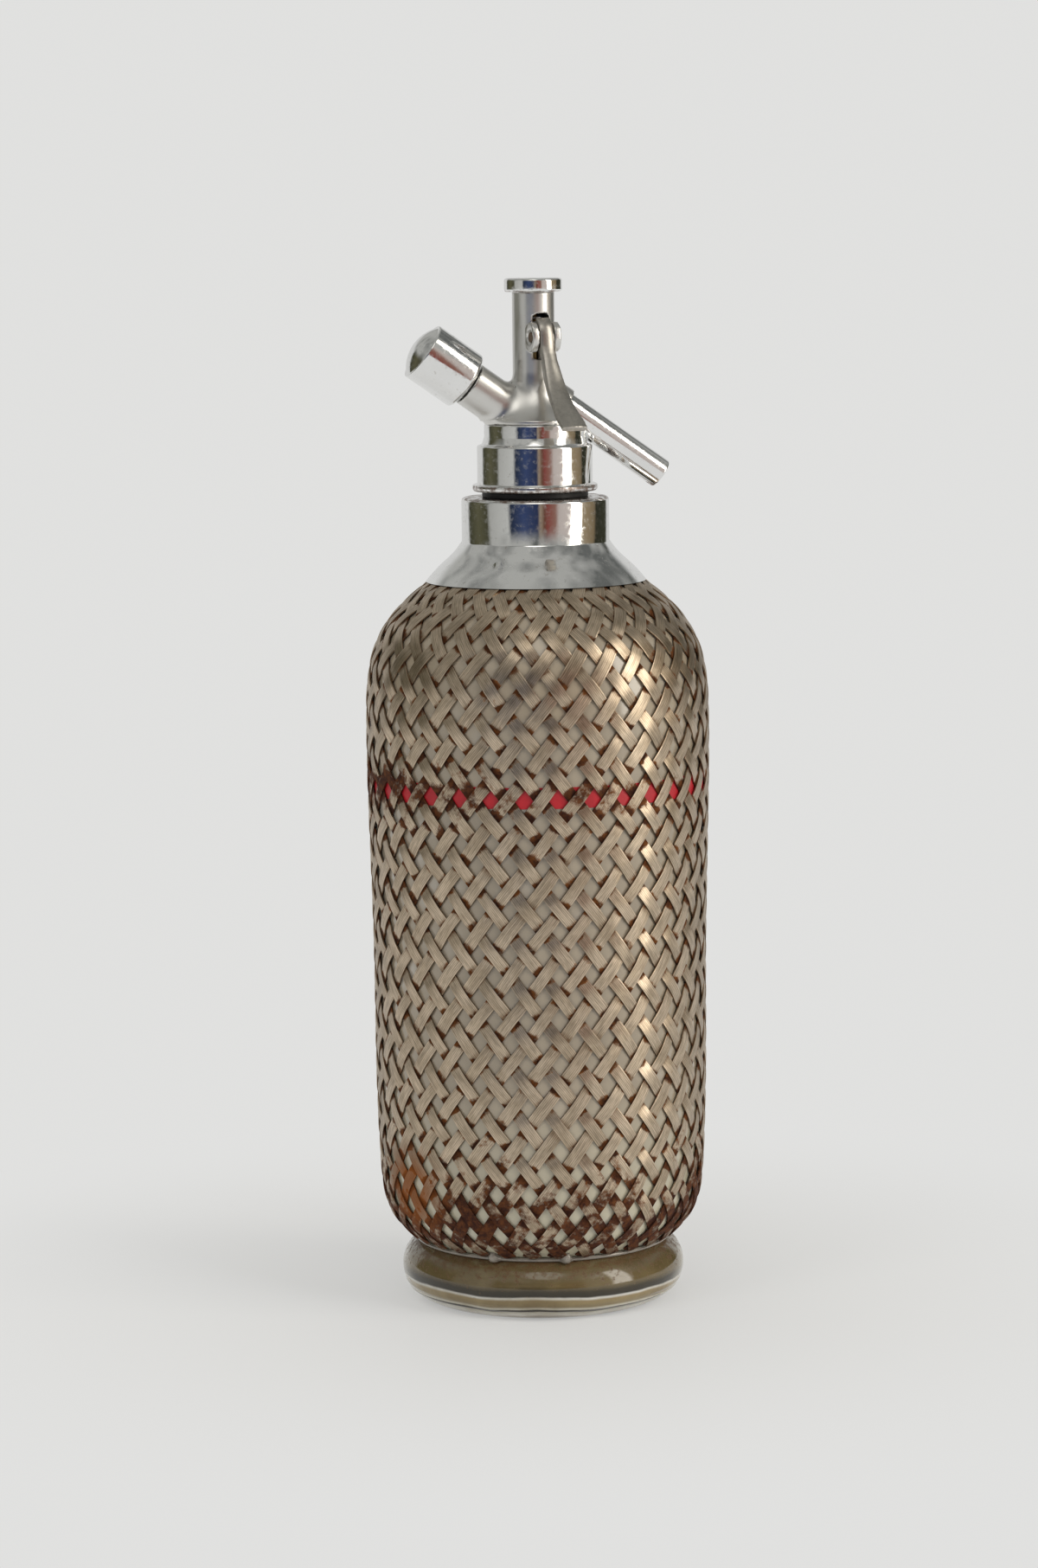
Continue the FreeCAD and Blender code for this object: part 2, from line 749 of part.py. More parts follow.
def make_lever():
    """Squeeze lever: hub, curved flaring blade and a forked toe under the lift collar."""
    outer = lever_outer_points()
    inner = lever_inner_points()
    edges = [curve_through(outer).toShape(), curve_through(list(reversed(inner))).toShape()]
    edges += runs([outer[-1], inner[-1]])
    edges += runs([inner[0], (pin_offset, pin_z), outer[0]])
    side = Part.Face(Part.Wire(Part.__sortEdges__(edges)))
    depth = lever_tip_half_width + 2
    side.translate(vec(0, -depth, 0))
    blade = side.extrude(vec(0, 2 * depth, 0))
    side_line = [(lever_half_width, pin_z + 2 * lever_crown_rise)]
    side_line += [(lever_half_width + out, pin_z - down) for down, out in lever_flare]
    side_line += [(lever_tip_half_width, pin_z - lever_tip_drop + lever_tip_thickness),
                  (lever_tip_half_width, pin_z - lever_tip_drop - 2 * lever_tip_thickness)]
    corners = side_line + [(-y, z) for y, z in reversed(side_line)]
    front = Part.Face(Part.makePolygon([vec(0, y, z) for y, z in corners + corners[:1]]))
    blade = blade.common(front.extrude(vec(pin_offset + 2 * lever_tip_reach, 0, 0)))
    hub = Part.makeCylinder(hub_r, 2 * lever_half_width,
                            vec(pin_offset, -lever_half_width, pin_z), vec(0, 1, 0))
    toe_start = pin_offset - toe_reach
    toe = Part.makeBox(toe_reach, 2 * lever_half_width, toe_thickness,
                       vec(toe_start, -lever_half_width, toe_top() - toe_thickness))
    toe_slot = Part.makeBox(-toe_start + 2.0, 2 * toe_slot_half_width, 3 * toe_thickness,
                            vec(toe_start, -toe_slot_half_width, pin_z - 1.5 * toe_thickness))
    lever = blade.fuse([hub, toe]).cut(toe_slot)
    pin_bore = Part.makeCylinder(pin_r + pin_clearance, 4 * lever_half_width,
                                 vec(pin_offset, -2 * lever_half_width, pin_z), vec(0, 1, 0))
    return in_lever_plane(lever.cut(pin_bore))


def make_lever_pin():
    """Pin through the ears and the lever's hub, its ends a little inside the recesses."""
    half = lever_half_width + lever_side_clearance + ear_thickness - 0.3
    pin = Part.makeCylinder(pin_r, 2 * half, vec(pin_offset, -half, pin_z), vec(0, 1, 0))
    return in_lever_plane(pin)


def make_spout_tube():
    """Plain spout tube with a rounded mouth."""
    end = spout_start_t + spout_length
    lip = (spout_r - spout_bore_r) / 2
    edges = runs([(spout_bore_r, spout_start_t), (spout_r, spout_start_t), (spout_r, end - lip)])
    edges += [arc((spout_r, end - lip), (spout_r - lip, end), (spout_bore_r, end - lip))]
    edges += runs([(spout_bore_r, end - lip), (spout_bore_r, spout_start_t)])
    return on_spout(lathe(edges))


def make_inlet_ball():
    """Ball of the inlet's check valve, lying at the inner end of its chamber."""
    ball = Part.makeSphere(ball_r, vec(0, 0, inlet_chamber_t + ball_clearance + ball_r))
    return on_inlet(ball)


def make_needle_carrier():
    """Screwed plug in the inlet: ball seat inside, hollow piercing needle outside."""
    carrier = turned([
        (0.5, carrier_t() + 1.0), (ball_seat_r, carrier_t()), (inlet_bore_r, carrier_t()),
        (inlet_bore_r, arm_end_t - 1.0), (needle_r, arm_end_t - 1.0),
        (needle_r, needle_tip_t - 2.0), (0.6, needle_tip_t), (0.5, needle_tip_t),
    ])
    return on_inlet(carrier)


def cap_inside_t():
    return arm_end_t + cap_washer_thickness


def make_cap_washer():
    """Sealing washer kept in the inlet cap."""
    bore = inlet_crest_r + inlet_thread_clearance
    return on_inlet(ring(bore, cap_washer_bore_r, arm_end_t, cap_inside_t()))


def make_inlet_cap():
    """Domed screw cap over the charging inlet."""
    bore = inlet_crest_r + inlet_thread_clearance
    mouth = cap_mouth_t
    end = mouth + cap_length
    lip = 0.9
    edge = 0.9
    dome_r = cap_r - edge
    edges = runs([(bore, mouth), (cap_r - lip, mouth)])
    edges += [arc((cap_r - lip, mouth), (cap_r - 0.3 * lip, mouth + 0.3 * lip), (cap_r, mouth + lip))]
    edges += runs([(cap_r, mouth + lip), (cap_r, end - edge)])
    edges += [arc((cap_r, end - edge), (cap_r - 0.3 * edge, end - 0.3 * edge), (dome_r, end))]
    edges += [dome_arc(dome_r, end, cap_dome)]
    edges += runs([(0, end + cap_dome), (0, cap_inside_t()), (bore, cap_inside_t()), (bore, mouth)])
    ridge = thread_ridge(bore, bore - (inlet_crest_r - inlet_root_r), inlet_pitch,
                         inlet_thread_turns, inlet_root_width, inlet_crest_width,
                         inlet_thread_start_t, 180.0)
    return on_inlet(lathe(edges).fuse(ridge))


def make_dip_tube():
    """Tube that draws the water from just above the bottle's floor."""
    floor_z = punt_rise + glass_floor
    return ring(dip_tube_r, dip_tube_bore_r, floor_z + dip_tube_bottom_gap, seat_bottom_z)


def make_tube_ferrule():
    """Flanged sleeve on the dip tube's top."""
    top = seat_bottom_z
    bottom = top - ferrule_flange_height
    sleeve_r = dip_tube_r + ferrule_wall
    low = bottom - ferrule_sleeve_length
    return turned([
        (dip_tube_r, low), (sleeve_r, low), (sleeve_r, bottom), (ferrule_flange_r, bottom),
        (ferrule_flange_r, top), (dip_tube_r, top),
    ])


def make_tube_nut():
    """Hexagon nut on the shank that holds the ferrule's flange up."""
    sleeve_r = dip_tube_r + ferrule_wall + 0.3
    floor_top = tube_nut_bottom_z + tube_nut_floor
    corners = []
    for index in range(7):
        angle = math.radians(60.0 * index)
        corners.append(vec(tube_nut_r * math.cos(angle), tube_nut_r * math.sin(angle),
                           tube_nut_bottom_z))
    height = shank_bottom_z + 2.0 - tube_nut_bottom_z
    nut = Part.Face(Part.makePolygon(corners)).extrude(vec(0, 0, height))
    nut = nut.cut(rod(sleeve_r, tube_nut_bottom_z, floor_top))
    return nut.cut(rod(shank_r, floor_top, shank_bottom_z + 2.0))


def build_parts():
    """Every separate piece by its name."""
    spout_cutters = [spout_hole(), spout_boss(), on_inlet(rod(arm_r, 0.0, arm_shoulder_t))]
    return {
        "bottle": make_bottle(),
        "mesh_sleeve": make_mesh_sleeve(),
        "sleeve_hem": make_sleeve_hem(),
        "fill_line": make_fill_line(),
        "shoulder_collar": make_shoulder_collar(),
        "neck_cement": make_neck_cement(),
        "mouth_washer": make_mouth_washer(),
        "neck_bush": make_neck_bush(),
        "neck_seal": make_neck_seal(),
        "neck_cap": make_neck_cap(spout_cutters),
        "head_washer": make_head_washer(),
        "head_casting": make_head_casting(),
        "column_cap": make_column_cap(),
        "gland_packing": make_gland_packing(),
        "gland_nut": make_gland_nut(),
        "valve_seat": make_valve_seat(),
        "valve_washer": make_valve_washer(),
        "valve_spindle": make_valve_spindle(),
        "lift_collar": make_lift_collar(),
        "valve_spring": make_valve_spring(),
        "lever": make_lever(),
        "lever_pin": make_lever_pin(),
        "spout_tube": make_spout_tube(),
        "inlet_ball": make_inlet_ball(),
        "needle_carrier": make_needle_carrier(),
        "cap_washer": make_cap_washer(),
        "inlet_cap": make_inlet_cap(),
        "dip_tube": make_dip_tube(),
        "tube_ferrule": make_tube_ferrule(),
        "tube_nut": make_tube_nut(),
    }


def main():
    """Build each piece, report it and write its STEP file."""
    os.makedirs("parts", exist_ok=True)
    for name, shape in build_parts().items():
        shape.exportStep("parts/" + name + ".step")
        box = shape.BoundBox
        print(name, len(shape.Solids), "solid(s)", round(shape.Volume, 1), "mm3",
              "valid" if shape.isValid() else "NOT VALID",
              [round(v, 2) for v in (box.XMin, box.XMax, box.YMin, box.YMax, box.ZMin, box.ZMax)])


main()
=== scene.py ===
import json
import math

import bmesh
import bpy
import numpy as np
from mathutils import Matrix, Vector


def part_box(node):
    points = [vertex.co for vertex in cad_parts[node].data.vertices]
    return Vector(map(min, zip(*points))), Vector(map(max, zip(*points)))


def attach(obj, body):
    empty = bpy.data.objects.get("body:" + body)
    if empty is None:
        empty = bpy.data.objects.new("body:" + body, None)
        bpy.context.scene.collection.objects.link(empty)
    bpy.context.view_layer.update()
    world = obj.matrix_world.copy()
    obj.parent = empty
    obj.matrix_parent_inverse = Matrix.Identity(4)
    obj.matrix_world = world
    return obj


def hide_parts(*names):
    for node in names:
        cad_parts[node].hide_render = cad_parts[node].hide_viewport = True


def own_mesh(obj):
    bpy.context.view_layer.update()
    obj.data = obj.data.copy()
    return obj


bl_info = {
    "name": "Soda siphon dresser",
    "version": (1, 0, 0),
    "blender": (4, 5, 0),
    "location": "View3D > Sidebar > Siphon",
    "description": "Dresses the packed soda siphon: glass, woven sleeve, metal head and a studio",
    "category": "Object",
}

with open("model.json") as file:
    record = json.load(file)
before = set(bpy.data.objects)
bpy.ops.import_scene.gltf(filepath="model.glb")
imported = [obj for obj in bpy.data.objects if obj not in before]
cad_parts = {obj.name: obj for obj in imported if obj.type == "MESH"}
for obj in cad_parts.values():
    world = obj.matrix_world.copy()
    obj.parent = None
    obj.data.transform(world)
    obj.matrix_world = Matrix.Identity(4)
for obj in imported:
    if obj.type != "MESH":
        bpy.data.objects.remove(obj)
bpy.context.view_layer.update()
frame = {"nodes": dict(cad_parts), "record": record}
NODES = frame["nodes"]
MM = 0.001

# Places that the pieces share, in millimetres and radians, repeated from the part's own sizes
FOOT_CONTACT_R = 35.0
FOOT_BULGE_R = 43.2
FOOT_BULGE_Z = 9.6
FOOT_NECK_Z = 18.7
PUNT_RIM_R = 33.0
PUNT_RISE = 8.0
GLASS_WALL = 4.0
GLASS_NECK_R = 19.0
GLASS_NECK_Z = 234.0
GLASS_BORE_R = 12.5
GLASS_MOUTH_Z = 240.0
GLASS_INSIDE_FROM_Z = 17.0
SLEEVE_FROM_Z = 19.6
SLEEVE_GAP = 0.25
SLEEVE_THICKNESS = 0.95
COLLAR_RIM = (33.3, 219.8)
COLLAR_WAIST_R = 22.3
COLLAR_WALL = 1.2
COLLAR_TOP_Z = 245.0
NECK_HOLE_R = 14.9
LIP_R = 18.9
LIP_BOTTOM_Z = 246.8
LIP_TOP_Z = 249.0
NECK_CAP_R = 17.4
NECK_CAP_PLATE_Z = 262.0
NECK_CAP_TOP_R = 15.2
NECK_CAP_TOP_Z = 267.0
SHANK_R = 7.5
COLUMN_R = 6.35
COLUMN_BORE_R = 4.2
COLUMN_TOP_Z = 306.4
COLUMN_CAP_R = 8.7
COLUMN_CAP_TOP_Z = 310.5
CONE_RIM = (13.9, 268.2)
CONE_MIDDLE = (8.55, 274.2)
CONE_TOP_Z = 283.0
ARM_TILT = math.radians(35.0)
INLET_AXIS = (-math.cos(ARM_TILT), 0.0, math.sin(ARM_TILT))
ARM_AXIS_Z = 265.3
ARM_R = 6.8
ARM_END_T = 24.4
INLET_CAP_R = 9.1
INLET_CAP_BORE_R = 6.85
SPOUT_AXIS = (math.cos(ARM_TILT), 0.0, -math.sin(ARM_TILT))
SPOUT_AXIS_Z = 278.4
SPOUT_BOSS_R = 5.6
SPOUT_BOSS_T = 11.0
SPOUT_R = 4.55
SPOUT_BORE_R = 3.2
SPRING_WIRE_R = 0.35
SPRING_TURNS = 5
LEVER_AZIMUTH = math.radians(-80.0)
LEVER_HALF_AT = ((265.0, 269.2, 273.0, 280.0, 286.5), (4.1, 4.1, 3.45, 2.95, 2.3))
LEVER_CROWN_AT = ((268.0, 280.0), (0.6, 0.5))
LEVER_OUTSIDE_FROM = 7.5

# The weave is laid out from one crossing, at this height and this turn round the body; a ribbon's
# drift and wander are in radians
CROSSING_Z = 119.9
CROSSING_TURN = math.radians(-103.0)
PLACES_PER_CROSSING = 11
RIBBON_SEED = 31
RIBBON_DRIFT = 0.004
RIBBON_WANDER = 0.0035
RIBBON_CLEARANCE = 0.03
RIBBON_FLATNESS = 1.2
WIRE_GROOVE = 0.07

# Knots of the hem wire: their turns in degrees, and each one's half width in radians, its growth
# and how much of that growth lifts it
KNOT_TURNS = (234.0, 266.0, 96.0)
KNOT_HALF_WIDTH = 0.036
KNOT_GROWTH = 1.9
KNOT_LIFT = 0.7

# Middle of the orange patch of rust, in metres as the materials read places
ORANGE_RUST_AT = (-0.046, -0.019, 0.039)

# Colours that the panel doesn't show
WHITE = (1.0, 1.0, 1.0)
TARNISH = (0.16, 0.085, 0.05)
GREEN_LIMESCALE = (0.60, 0.56, 0.41)
LIGHT_SPOT = (0.62, 0.60, 0.55)
RUST_LOW = (0.22, 0.085, 0.035)
RUST_LOW_DARK = (0.075, 0.032, 0.024)
RUST_ORANGE = (0.40, 0.13, 0.025)
TUCK_SHADE = (0.4, 0.3, 0.22)
RUBBER = (0.012, 0.012, 0.012)
PALE_ROOM = (0.66, 0.66, 0.65)

# Bright places of the room that the metal shows: a tall window at the right and a light above
WINDOW_LIGHT = (5.2, 5.0, 4.6)
SKYLIGHT = (1.7, 1.66, 1.58)
SKYLIGHT_AIM = (-0.16, -0.64, 0.75)

# The photograph's height in pixels, in which the camera's focal length is given
FRAME_HEIGHT_PX = 1812.0


def foot_arc():
    """Round bulge of the foot, from the floor through its widest place to the foot's neck: the
    arc's centre and radius, and the swing at its lowest and highest ends."""
    step = FOOT_BULGE_R - FOOT_CONTACT_R
    bulge = (FOOT_BULGE_Z ** 2 + step ** 2) / (2 * step)
    low = -math.asin(FOOT_BULGE_Z / bulge)
    high = math.asin((FOOT_NECK_Z - FOOT_BULGE_Z) / bulge)
    return (FOOT_BULGE_R - bulge, FOOT_BULGE_Z), bulge, low, high


FOOT_CENTRE, FOOT_ARC_R, FOOT_LOW, FOOT_HIGH = foot_arc()
BODY_OUTLINE = [
    (FOOT_CENTRE[0] + FOOT_ARC_R * math.cos(FOOT_HIGH), FOOT_NECK_Z),
    (39.4, 20.1), (45.3, 26.8), (48.4, 41.0), (49.65, 109.5), (50.9, 178.0), (47.0, 202.8),
    (41.1, 211.2), (32.5, 218.75), (23.8, 225.6), (GLASS_NECK_R, GLASS_NECK_Z),
]


def smooth_through(points, count):
    """Natural cubic spline through points: each coordinate's second slopes solve the usual
    three-term equations on chord lengths, then count places are read along it."""
    points = np.asarray(points, float)
    chord = distances_along(points)
    step = np.diff(chord)
    size = len(points)
    matrix = np.eye(size)
    right = np.zeros_like(points)
    inner = np.arange(1, size - 1)
    matrix[inner, inner - 1] = step[:-1]
    matrix[inner, inner] = 2 * (step[:-1] + step[1:])
    matrix[inner, inner + 1] = step[1:]
    slope = np.diff(points, axis=0) / step[:, None]
    right[1:-1] = 6 * np.diff(slope, axis=0)
    bend = np.linalg.solve(matrix, right)
    at = np.linspace(0, chord[-1], count)
    k = np.clip(np.searchsorted(chord, at, side="right") - 1, 0, size - 2)
    a = ((chord[k + 1] - at) / step[k])[:, None]
    b = 1 - a
    h = step[k][:, None] ** 2 / 6
    return a * points[k] + b * points[k + 1] + h * ((a ** 3 - a) * bend[k] + (b ** 3 - b) * bend[k + 1])


def distances_along(points):
    """Distance along a line of points from its first one to each."""
    return np.concatenate([[0.0], np.cumsum(np.linalg.norm(np.diff(points, axis=0), axis=1))])


def slopes(points):
    """Unit direction of a line of points at each."""
    slope = np.gradient(points, axis=0)
    return slope / np.linalg.norm(slope, axis=1)[:, None]


def rounded(corners, steps=6):
    """Outline through corners, each (radius, height, rounding). A corner with a rounding is swapped
    for an arc of that radius, drawn as the rational quadratic curve between its two tangent
    places, with the corner weighted by the sine of half its angle."""
    corners = np.asarray(corners, float)
    places = corners[:, :2]
    parts = [places[:1]]
    for before, here, after, radius in zip(places[:-2], places[1:-1], places[2:], corners[1:-1, 2]):
        if radius <= 0:
            parts.append(here[None])
            continue
        back = before - here
        ahead = after - here
        back_length = np.linalg.norm(back)
        ahead_length = np.linalg.norm(ahead)
        back /= back_length
        ahead /= ahead_length
        half = math.acos(np.clip(back @ ahead, -1, 1)) / 2
        reach = min(radius / math.tan(half), 0.49 * back_length, 0.49 * ahead_length)
        start = here + back * reach
        end = here + ahead * reach
        t = np.linspace(0, 1, steps)[:, None]
        weight = math.sin(half)
        bottom = (1 - t) ** 2 + 2 * weight * t * (1 - t) + t ** 2
        parts.append(((1 - t) ** 2 * start + 2 * weight * t * (1 - t) * here + t ** 2 * end) / bottom)
    parts.append(places[-1:])
    return np.concatenate(parts)


def put_object(name, data):
    """New object in the scene that holds the data."""
    thing = bpy.data.objects.new(name, data)
    bpy.context.scene.collection.objects.link(thing)
    return thing


def merge_doubles(mesh, outward=False):
    """Joins the vertices that share a place, and turns every face outward where that is asked."""
    work = bmesh.new()
    work.from_mesh(mesh)
    bmesh.ops.remove_doubles(work, verts=work.verts, dist=1e-6)
    if outward:
        bmesh.ops.recalc_face_normals(work, faces=work.faces)
    work.to_mesh(mesh)
    work.free()


def put_mesh(name, verts, faces, body, sharp=40.0):
    """New piece in metres from millimetre vertices: doubles merged, smooth but for sharp edges."""
    mesh = bpy.data.meshes.new(name)
    mesh.from_pydata((np.asarray(verts) * MM).tolist(), [], np.asarray(faces).tolist())
    merge_doubles(mesh, outward=True)
    mesh.shade_smooth()
    mesh.set_sharp_from_angle(angle=math.radians(sharp))
    piece = put_object(name, mesh)
    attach(piece, body)
    return piece


def read_points(mesh):
    """Places of a mesh's vertices in millimetres."""
    points = np.zeros(len(mesh.vertices) * 3)
    mesh.vertices.foreach_get("co", points)
    return points.reshape(-1, 3) / MM


def write_points(mesh, points):
    """Moves a mesh's vertices to places in millimetres."""
    mesh.vertices.foreach_set("co", (points * MM).ravel())


def mark_points(mesh, name, field, values):
    """Attribute on the mesh's points: field value holds numbers, and field vector triples."""
    kind = {"value": "FLOAT", "vector": "FLOAT_VECTOR"}[field]
    layer = mesh.attributes.new(name, kind, "POINT")
    layer.data.foreach_set(field, values.ravel().astype(np.float32))


def grid_faces(rows, columns, close_rows=False, close_columns=True):
    """Quads of a grid of vertices, row by row, closed round its columns or rows."""
    row = np.arange(rows if close_rows else rows - 1)
    column = np.arange(columns if close_columns else columns - 1)
    i, j = np.meshgrid(row, column, indexing="ij")
    i2 = (i + 1) % rows
    j2 = (j + 1) % columns
    quads = np.stack([i * columns + j, i * columns + j2, i2 * columns + j2, i2 * columns + j], -1)
    return quads.reshape(-1, 4)


def turned(r, z, turn):
    """Vertices at radius r and height z, turned about Z: x and y are the radius times the turn's
    cosine and sine."""
    x, y, z = np.broadcast_arrays(r * np.cos(turn), r * np.sin(turn), z)
    return np.stack([x, y, z], -1).reshape(-1, 3)


def full_turn(count):
    """Evenly spaced angles of one whole turn."""
    return np.arange(count) * 2 * np.pi / count


def laid_along(verts, axis, axis_z):
    """Turns vertices built about Z so that Z lies along axis, from the height axis_z on the
    column's own axis."""
    turn = Vector((0, 0, 1)).rotation_difference(Vector(axis)).to_matrix()
    return np.asarray(verts) @ np.array(turn).T + np.array([0, 0, axis_z])


def lathe_piece(name, outline, body, segments=128, axis=None, axis_z=0.0, closed=True, sharp=40.0):
    """Piece turned about Z from an outline, closed on itself or ending on the axis, and then laid
    along another axis where one is given."""
    outline = np.asarray(outline, float)
    verts = turned(outline[:, :1], outline[:, 1:], full_turn(segments))
    if axis is not None:
        verts = laid_along(verts, axis, axis_z)
    faces = grid_faces(len(outline), segments, close_rows=closed)
    return put_mesh(name, verts, faces, body, sharp)


def drawn_onto(points, skin, reach=0.16, tries=3, probe=0.01):
    """Points nearer than reach to the skin's plain distance, moved onto its blended one: each step
    goes down the distance's slope by the distance over the slope squared."""
    near = np.abs(skin(points)[0]) < reach
    moved = points[near]
    for _ in range(tries):
        away = skin(moved)[1]
        slope = np.stack([(skin(moved + step)[1] - away) / probe for step in np.eye(3) * probe], -1)
        moved = moved - slope * (away / (slope ** 2).sum(1))[:, None]
    points[near] = moved
    return points


def cast_copy(node, name, body, voxel, rounds, skin=None):
    """Copy of a CAD node with even small faces, its edges softened by rounds of smoothing, and
    drawn onto a skin distance where one is given."""
    mesh = NODES[node].data.copy()
    mesh.materials.clear()
    merge_doubles(mesh)
    rough = put_object(name + "_rough", mesh)
    remesh = rough.modifiers.new("even faces", "REMESH")
    remesh.mode = "VOXEL"
    remesh.voxel_size = voxel * MM
    remesh.use_smooth_shade = True
    smooth = rough.modifiers.new("soft edges", "SMOOTH")
    smooth.factor = 0.5
    smooth.iterations = rounds
    even = bpy.data.meshes.new_from_object(rough.evaluated_get(bpy.context.evaluated_depsgraph_get()))
    bpy.data.objects.remove(rough)
    even.name = name
    if skin is not None:
        write_points(even, drawn_onto(read_points(even), skin))
    even.shade_smooth()
    piece = put_object(name, even)
    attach(piece, body)
    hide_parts(node)
    return piece


def crown_lever(mesh, rounds=6):
    """Draws the lever's outer face back towards its edges, by a depth times the share of the half
    width to the power 1.8, leaves the sides and the inner face, and smooths it all."""
    points = read_points(mesh)
    normals = np.zeros(len(mesh.vertices) * 3)
    mesh.vertex_normals.foreach_get("vector", normals)
    normals = normals.reshape(-1, 3)
    out = np.array([math.cos(LEVER_AZIMUTH), math.sin(LEVER_AZIMUTH), 0.0])
    side = np.array([-out[1], out[0], 0.0])
    half = np.interp(points[:, 2], LEVER_HALF_AT[0], LEVER_HALF_AT[1])
    share = np.clip(np.abs(points @ side) / half, 0, 1) ** 1.8
    facing = np.clip((0.85 * (normals @ out) + 0.5 * normals[:, 2]) * 1.6, 0, 1)
    outside = np.clip(points @ out - LEVER_OUTSIDE_FROM, 0, 1)
    depth = np.interp(points[:, 2], LEVER_CROWN_AT[0], LEVER_CROWN_AT[1])
    write_points(mesh, points - normals * (share * facing * outside * depth)[:, None])
    work = bmesh.new()
    work.from_mesh(mesh)
    for _ in range(rounds):
        bmesh.ops.smooth_vert(work, verts=work.verts, factor=0.5, use_axis_x=True, use_axis_y=True,
                              use_axis_z=True)
    work.to_mesh(mesh)
    work.free()
    mesh.shade_smooth()


def blend(first, second, reach):
    """Smooth union of two distances: the least of them, less a quarter of reach where they meet."""
    share = np.clip(0.5 + 0.5 * (second - first) / reach, 0, 1)
    return second + share * (first - second) - reach * share * (1 - share)


def casting_skin(points):
    """Distance to column and cone, inlet arm and spout socket, plain and blended into each other.
    The cone's side is the arc through its rim, middle and top, hollow towards the outside."""
    ends = np.array([CONE_RIM, CONE_MIDDLE, (COLUMN_R, CONE_TOP_Z)])
    sides = 2 * (ends[1:] - ends[0])
    centre = np.linalg.solve(sides, (ends[1:] ** 2).sum(1) - (ends[0] ** 2).sum())
    bend = np.linalg.norm(ends[0] - centre)
    out = np.hypot(points[:, 0], points[:, 1])
    z = points[:, 2]
    cone = bend - np.hypot(out - centre[0], z - centre[1])
    body = np.where(z > CONE_TOP_Z, out - COLUMN_R, cone)
    body = np.where(z < CONE_RIM[1], np.maximum(out - CONE_RIM[0], cone), body)
    body = np.maximum(body, z - COLUMN_TOP_Z)
    tubes = []
    for axis, axis_z, radius, end in ((INLET_AXIS, ARM_AXIS_Z, ARM_R, ARM_END_T),
                                      (SPOUT_AXIS, SPOUT_AXIS_Z, SPOUT_BOSS_R, SPOUT_BOSS_T)):
        place = points - np.array([0, 0, axis_z])
        t = place @ np.array(axis)
        side = np.linalg.norm(place - t[:, None] * np.array(axis), axis=1) - radius
        tubes.append(np.maximum(np.where(t < 0, side - t, side), t - end))
    arm, socket = tubes
    plain = np.minimum(body, np.minimum(arm, socket))
    arm_blend, socket_blend = 3.4, 2.4
    return plain, blend(blend(body, arm, arm_blend), socket, socket_blend)


